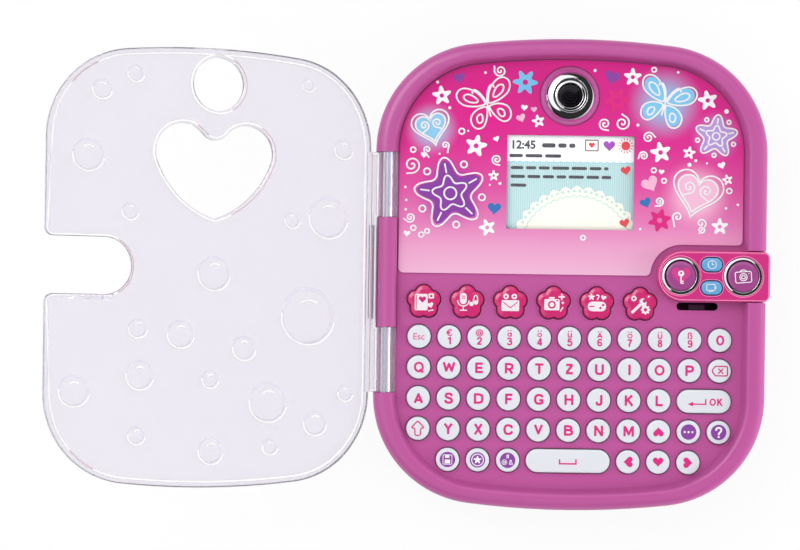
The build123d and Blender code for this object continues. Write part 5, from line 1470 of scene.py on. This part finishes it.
def lineStar(place, size, turn):
    # a star in double line with a ring in the middle, its veins, and a bead off each arm
    paths = [(starShape(place, size, 5, 0.56, turn), True),
             (starShape(place, size * 0.5, 5, 0.6, turn), True),
             (roundel(place, size * 0.17, 14), True)]
    for n in range(5):
        angle = pi / 2 + turn + 2 * pi * (n + 0.5) / 5
        paths.append((roundel(around(place, size * 0.86, angle), size * 0.09, 10), True))
        paths.append(([around(place, size * share, angle + pi / 5) for share in (0.56, 0.68, 0.82)], False))
    return paths


def smoothLoop(points):
    # cut the corners of a closed outline three times
    for _ in range(3):
        points = [(near * ax + (1 - near) * bx, near * ay + (1 - near) * by)
                  for (ax, ay), (bx, by) in pairs(points) for near in (0.75, 0.25)]
    return points


def inkPanel(name, outlines, material, lift=0):
    layInk(filledShapes(name, outlines, panelLevel + lift * inkThickness), material, "case")


def stars(settings, arms, inner):
    # stars with a hole in the middle
    made = []
    for place, radius, turn in settings:
        made += [starShape(place, radius, arms, inner, turn), roundel(place, radius * 0.22, 14)]
    return made


def isFree(x, y, room, taken):
    # whether a motif that reaches this far fits at a place
    reach = room + panelArt["margin"]
    midX, midY = panelArt["cornerMiddle"]
    overX, overY = max(abs(x) - midX, 0), max(y - midY, 0)
    outside = sqrt(overX ** 2 + overY ** 2) > panelArt["cornerRadius"] - reach or y < panelArt["low"] + room
    glass = panelArt["display"]
    beside = abs(x - glass["middle"]) < glass["half"] + reach
    onDisplay = beside and glass["low"] - reach < y < glass["high"] + reach
    podLeft, podHigh = panelArt["podCorner"]
    onPod = x > podLeft - reach and y < podHigh + reach
    room += panelArt["apart"]
    near = any(sqrt((x - ax) ** 2 + (y - ay) ** 2) < room + other for (ax, ay), other in taken)
    return not (outside or onDisplay or onPod or near)


def strewPlaces():
    # a free place for each small motif, by trial: (place, size, turn) for each kind
    draw = random.Random(panelArt["seed"])
    taken = [(middle("camera_bezel"), panelArt["cameraRoom"])]
    for kind, roomKind in (("hearts", "heartRoom"), ("stars", "starRoom"), ("butterflies", "butterflyRoom")):
        share, more = panelArt[roomKind]
        taken += [(place, size * share + more) for place, size, _, _ in panelArt[kind]]
    placed = {}
    for kind, sizes in panelArt["small"].items():
        placed[kind] = []
        for size in sizes:
            room = size / 2 if "Hearts" in kind else size
            for _ in range(panelArt["tries"]):
                x = draw.uniform(-panelArt["side"], panelArt["side"])
                y = draw.uniform(panelArt["low"], panelArt["top"])
                if isFree(x, y, room, taken):
                    taken.append(((x, y), room))
                    placed[kind].append(((x, y), size, draw.uniform(-0.5, 0.5)))
                    break
    return placed


def makePanelArt():
    placed = strewPlaces()
    whites = stars(placed["whiteStars"], 5, 0.52)
    whites += [heartShape(*heart) for heart in placed["whiteHearts"]]
    whites += [roundel(place, radius, 12) for place, radius, _ in placed["dots"]]
    inkPanel("panelWhites", whites, whiteInk)
    paths = []
    for n, (place, size, turn, colour) in enumerate(panelArt["hearts"]):
        ink = inkMaterial(f"soft ink {n}", colour, 0.3)
        inkPanel(f"heartFill{n}", [heartShape(place, size * 0.77, turn)], ink)
        paths += swirlHeart(place, size, turn)
    for n, (place, size, turn, colour) in enumerate(panelArt["stars"]):
        ink = inkMaterial(f"star ink {n}", colour, 0.3)
        inkPanel(f"starFill{n}", [starShape(place, size * 0.91, 5, 0.54, turn)], ink)
        paths += lineStar(place, size, turn)
    for n, (place, size, turn, colour) in enumerate(panelArt["butterflies"]):
        ink = inkMaterial(f"wing ink {n}", colour, 0.3)
        petals = [smoothLoop([(hand * x, y) for x, y in wing]) for hand in (1, -1) for wing in wings[:2]]
        petals = [moved(petal, place, size * 0.92, turn) for petal in petals]
        inkPanel(f"wingFill{n}", petals, ink)
        paths += butterfly(place, size, turn)
    for name, kind, material, slotName in (("panelPales", "paleHearts", paleInk, "printed_panel"),
                                           ("panelPurples", "purpleHearts", purpleInk, "purple_buttons"),
                                           ("panelBlues", "blueHearts", blueInk, "blue_buttons")):
        inkPanel(name, [heartShape(*heart) for heart in placed[kind]], material)
    inkPanel("panelSkies", stars(placed["skyStars"], 6, 0.55), skyInk, 1)
    inkPanel("panelPinks", stars(placed["pinkStars"], 6, 0.6), magentaInk, 1)
    for n, (place, size, turn) in enumerate(placed["curls"]):
        paths.append(curl(place, size, 1.7, 12 * turn, 1 if n % 2 else -1, 1.0))
    paths += [(roundel(place, radius, 16), True) for place, radius, _ in placed["rings"]]
    lines = lineWork("panelLines", paths, panelArt["lineWidth"], panelLevel + inkThickness)
    layInk(lines, whiteInk, "case")
    print("panel printed", {kind: len(made) for kind, made in placed.items()})


makePanelArt()


# what the display shows: a plain header, a scalloped doily and grey lines where words would be

screen = {
    "left": -25.1, "right": 24.3, "low": 17.55, "high": 54.05,
    "glass": 24.0,
    "header": 9.8,
    "waves": 19,
    "waveHeight": 0.45,
    "waveLine": 0.35,
    # the doily's middle from the left and the lower edge, and its radii: (radius, scallops, their depth)
    "doilyMiddle": (27.5, -9.0),
    "doilyOuter": (24.5, 34, 1.5),
    "doilyBand": (21.9, 52, 0.7),
    "doilyInner": (21.4, 52, 0.7),
    "holeOrbit": 24.1,
    "holeRadius": 0.62,
    "holeMargin": 1.2,
    # rows of grey bars: (from the top or from the header's foot, indent, length, thickness)
    "headerRows": ((3.8, 12.6, 13.0, 1.7), (7.9, 0, 21.0, 1.3)),
    "textRows": ((2.8, 0.6, 38, 1.2), (6.2, 0.6, 40, 1.2), (9.6, 0.6, 7, 1.2)),
    "rays": 14,
}
headerWhite = inkMaterial("display white", "#e4e5e6", 0.3)
waveAqua = inkMaterial("display aqua", "#7cb4c5", 0.3)
laceCream = inkMaterial("display cream", "#dad8c9", 0.3)
laceShade = inkMaterial("display pale green", "#a4c4ba", 0.3)
textGrey = inkMaterial("display grey", "#424247", 0.3)
frameBrown = inkMaterial("display brown", "#7d5a45", 0.3)
markRed = inkMaterial("display red", "#c7393f", 0.3)


def screenShape(name, outlines, material, layer):
    piece = filledShapes(name, outlines, screen["glass"] + (layer + 0.6) * inkThickness)
    layInk(piece, material, "case")


def doily(middlePoint, radius, scallops, depth, count=240):
    # a round of scallops, cut off at the display's border
    points = []
    for n in range(count + 1):
        angle = pi * n / count
        x, y = around(middlePoint, radius + depth * abs(sin(scallops * angle / 2)), angle)
        if y > screen["low"]:
            points.append((min(max(x, screen["left"]), screen["right"]), y))
    return [(points[0][0], screen["low"])] + points + [(points[-1][0], screen["low"])]


def barRow(y, indent, length, thick):
    # grey bars of differing length, about as long as words
    bars = []
    start = screen["left"] + 1.0 + indent
    while length > 1.5:
        word = min(length, 3.0 + (start * 7.3 + y) % 4.0)
        bars.append(roundedBox((start + word / 2, y), word, thick, thick * 0.45))
        start, length = start + word + 1.0, length - word - 1.0
    return bars


def makeScreen():
    left, right, low, high = (screen[side] for side in ("left", "right", "low", "high"))
    line = high - screen["header"]
    count = screen["waves"] * 8
    wavy = [(left + (right - left) * n / count,
             line - screen["waveHeight"] * abs(sin(pi * n / 8))) for n in range(count + 1)]
    wave = [(left, line + 0.5)] + [(x, y - screen["waveLine"]) for x, y in wavy] + [(right, line + 0.5)]
    screenShape("screenWave", [wave], waveAqua, 0)
    screenShape("screenHeader", [[(left, high)] + wavy + [(right, high)]], headerWhite, 1)

    middlePoint = (left + screen["doilyMiddle"][0], low + screen["doilyMiddle"][1])
    scallops = screen["doilyOuter"][1]
    holes = []
    for n in range(2, scallops - 1):
        x, y = around(middlePoint, screen["holeOrbit"], pi * n / scallops + pi / scallops / 2)
        margin = screen["holeMargin"]
        if y > low + margin and left + margin < x < right - margin:
            holes.append(roundel((x, y), screen["holeRadius"], 12))
    screenShape("laceOuter", [doily(middlePoint, *screen["doilyOuter"])], laceCream, 1)
    screenShape("laceHoles", holes, laceShade, 2)
    screenShape("laceBand", [doily(middlePoint, *screen["doilyBand"])], laceShade, 2)
    screenShape("laceInner", [doily(middlePoint, *screen["doilyInner"])], laceCream, 3)

    bars = []
    for top, rows in ((high, screen["headerRows"]), (line, screen["textRows"])):
        for down, indent, length, thick in rows:
            bars += barRow(top - down, indent, length, thick)
    screenShape("screenLines", bars, textGrey, 2)
    clock = words("screenTime", "12:45", 3.1, 0.16, (left + 6.6, high - 3.6),
                  screen["glass"] + 2.6 * inkThickness)
    layInk(clock, textGrey, "case")

    sun = (right - 3.2, high - 3.6)
    reds = [heartShape((right - 3.0, line - 3.6), 3.9, 0.2), heartShape((right - 3.2, low + 2.6), 3.9, 0.25),
            roundel(sun, 1.75, 24)]
    for n in range(screen["rays"]):
        turn = 2 * pi * n / screen["rays"]
        reds.append(roundedBox(around(sun, 2.55, turn), 0.9, 0.36, 0.15, turn))
    screenShape("screenReds", reds, markRed, 4)
    card = (right - 16.4, high - 3.6)
    screenShape("screenCard", [roundedBox(card, 5.4, 4.6, 0.5), roundedBox(card, 4.4, 3.6, 0.2)],
                frameBrown, 2)
    screenShape("screenCardHeart", [heartShape(card, 2.4)], markRed, 3)
    screenShape("screenHeart", [heartShape((right - 9.6, high - 3.9), 4.6)], purpleInk, 2)
    print("display drawn")


makeScreen()


# clear lid: raised bubbles on its outer face, drawn in the lid's own plane

lid = {
    "axis": (-71.0, 27.4),
    "lean": 24.5,
    "outer": 3.2,  # the two faces of the plate, from the hinge's plane
    "inner": 1.0,
    "flange": (4.4, 7.2),
    "flangeLength": 36.4,
    "rise": 0.08,
    "ringWidth": (0.4, 0.08),  # and a share of the bubble's radius
    # painted highlight arcs on each bubble: (share of its radius, more, start, end, points)
    "lights": ((1.0, 0.1, -2.9, 0.1, 19), (0.55, 0.0, 1.0, 2.2, 7)),
    "lightWidth": 0.7,
    # painted shade arcs on each bubble, in the same way
    "shades": ((1.0, -0.35, -2.2, 0.0, 15),),
    "shadeWidth": 0.2,
    "shortest": 45,  # chains of edge shorter than this get no painted highlight or pink reflection
    "step": 1.5,
    # the free edge: from where, the notch in it, and the end of the lip, whose points are dropped
    "freeEdge": 127.4,
    "notchHalf": 12.0,
    "notchReach": 134.8,
    "lipStart": 135.6,
    "lipEnd": 11.7,
    # the painted highlight along the edges, and the painted pink reflection of the case on some of them
    "edgeInset": 0.64,
    "edgeWidth": 0.8,
    "reflectionWidth": 0.32,
    "reflectionEnd": 128,
    "reflectionFacing": 0.45,
    "bubbles": ((116, 65.5, 3.8), (103, 72, 3.2), (33.5, 71, 2.6), (121, 41, 6.1), (104.5, 20.5, 3.2),
                (18.5, 47, 3.9), (39.5, 19, 3.1), (24.5, 20.5, 8.1), (71, -2, 6.5), (101, -23, 3.6),
                (84, -25, 5.3), (58.5, -30, 4.7), (32.5, -17.5, 11.0), (125.5, -46.5, 5.9),
                (100, -40.5, 5.5), (72, -42, 3.3), (48.5, -50.5, 7.7), (16.5, -47, 3.1), (29, -58.5, 4.8),
                (101, -63, 3.4), (71.5, -69, 5.0), (47.5, -67.5, 3.1)),
}
lean = radians(lid["lean"])
lidPlace = Matrix(((-cos(lean), 0, -sin(lean), lid["axis"][0] * mm), (0, 1, 0, 0),
                   (sin(lean), 0, -cos(lean), lid["axis"][1] * mm), (0, 0, 0, 1)))


def edgeSides(mesh):
    # the sides of the plate's inner face that only one of its facets has, in the lid's own plane
    back = lidPlace.inverted()
    places = [tuple(round(c / mm, 3) for c in back @ point.co) for point in mesh.vertices]
    sides = {}
    for face in mesh.polygons:
        corners = [places[n] for n in face.vertices]
        if all(abs(z - lid["inner"]) < 0.01 for x, y, z in corners):
            for a, b in pairs([(x, y) for x, y, z in corners]):
                if (b, a) in sides:
                    del sides[(b, a)]
                else:
                    sides[(a, b)] = True
    return sides


def loopLength(loop):
    return sum((Vector(b) - Vector(a)).length for a, b in zip(loop, loop[1:]))


def loopWidth(loop):
    across = [x for x, y in loop]
    return max(across) - min(across)


def evened(loop):
    # the same outline with a point at every step
    even = []
    for a, b in pairs(loop):
        count = int((Vector(b) - Vector(a)).length / lid["step"]) + 1
        even += [tuple(Vector(a).lerp(Vector(b), n / count)) for n in range(count)]
    return even


def lidLoops():
    # the closed outlines of the plate's inner face, the outer one first
    after = {a: b for a, b in edgeSides(nodes["lid"].data)}
    loops = []
    while after:
        loop = [next(iter(after))]
        while loop[-1] in after:
            loop.append(after.pop(loop[-1]))
        if loopLength(loop) > lid["shortest"]:
            loops.append(loop[:-1] if loop[0] == loop[-1] else loop)
    # the free edge is alike on both sides of the notch: its far half is the near half mirrored
    outer = max(loops, key=loopWidth)
    notch = next(loop for loop in loops if loop is not outer and max(x for x, y in loop) > lid["notchReach"])
    near = [(x, y) for x, y in outer if x < lid["lipStart"] or abs(y - lid["lipEnd"]) > 0.05]
    far = [(x, -y) for x, y in near if x > lid["freeEdge"] and y > lid["notchHalf"]]
    windows = [loop for loop in loops if loop is not outer and loop is not notch]
    return [evened(loop) for loop in [near + notch + far[::-1]] + windows]


def handOf(loop):
    # 1 for a loop that runs anticlockwise, -1 for one that runs clockwise
    return 1 if sum(ax * by - bx * ay for (ax, ay), (bx, by) in pairs(loop)) > 0 else -1


def insetLoop(loop, inset):
    # each point moved into the material, with the way out of the material there
    made = []
    for n, (x, y) in enumerate(loop):
        along = (Vector(loop[(n + 1) % len(loop)]) - Vector(loop[n - 1])).normalized()
        out = Vector((along.y, -along.x))
        made.append(((x - out.x * inset, y - out.y * inset), (out.x, out.y)))
    return made


def lidLines(name, paths, width, level, material):
    layInk(lineWork(name, paths, width, level), material, "lid_body", lidPlace)


def makeLidEdges():
    # a painted highlight along every edge, and a painted pink reflection of the case on those that face the
    # lid's free end
    loops = lidLoops()
    print("lid outlines", [len(loop) for loop in loops])
    hand = handOf(loops[0])
    bands, reflections = [], []
    for loop in loops:
        placed = insetLoop(loop, hand * lid["edgeInset"])
        bands.append(([point for point, out in placed], True))
        runs = [[]]
        for (x, y), out in placed + placed[:1]:
            if hand * out[0] > lid["reflectionFacing"] and x < lid["reflectionEnd"]:
                runs[-1].append((x, y))
            elif runs[-1]:
                runs.append([])
        reflections += [(run, False) for run in runs if len(run) > 3]
    lidLines("lid_edge_highlight", bands, lid["edgeWidth"], lid["inner"] - 0.01, highlightInk)
    lidLines("lid_edge_pink_reflection", reflections, lid["reflectionWidth"], lid["inner"] - 0.03, pinkReflectionInk)


def makeBubbles():
    outer, inner, rise = lid["outer"], lid["inner"], lid["rise"]
    rings, brights, darks = [], [], []
    for x, y, radius in lid["bubbles"]:
        wide = lid["ringWidth"][0] + radius * lid["ringWidth"][1]
        profile = [(radius - wide, outer - 0.1), (radius - wide, outer + 0.01),
                   (radius - wide * 0.6, outer + rise * 0.8), (radius - wide * 0.3, outer + rise),
                   (radius - 0.1, outer + rise * 0.7), (radius, outer + 0.01), (radius, outer - 0.1)]
        rings.append(turned("ring", profile, (x, y), 40))
        brights += [arc((x, y), radius * share + more, *ends) for share, more, *ends in lid["lights"]]
        darks += [arc((x, y), radius * share + more, *ends) for share, more, *ends in lid["shades"]]
    layInk(joinPieces(rings, "lid_bubbles"), reliefClear, "lid_body", lidPlace)
    # painted highlights and painted shades on each bubble, as flat lines on the plate's inner face
    lidLines("lid_bubble_highlights", brights, lid["lightWidth"], inner - 0.005, highlightInk)
    lidLines("lid_bubble_painted_shades", darks, lid["shadeWidth"], inner - 0.005, bubbleShadeInk)
    # a matt painted shade on the flange's outer face, grey where the case's shade is seen through it beside
    # the spine
    start, end = lid["flange"]
    outline = roundedBox(((start + end) / 2, 0), end - start, lid["flangeLength"], 0.4)
    strip = filledShapes("lid_flange_painted_shade", [outline], outer + 0.02)
    layInk(strip, flangeShadeInk, "lid_body", lidPlace)
    print("lid bubbles made")


makeBubbles()
makeLidEdges()
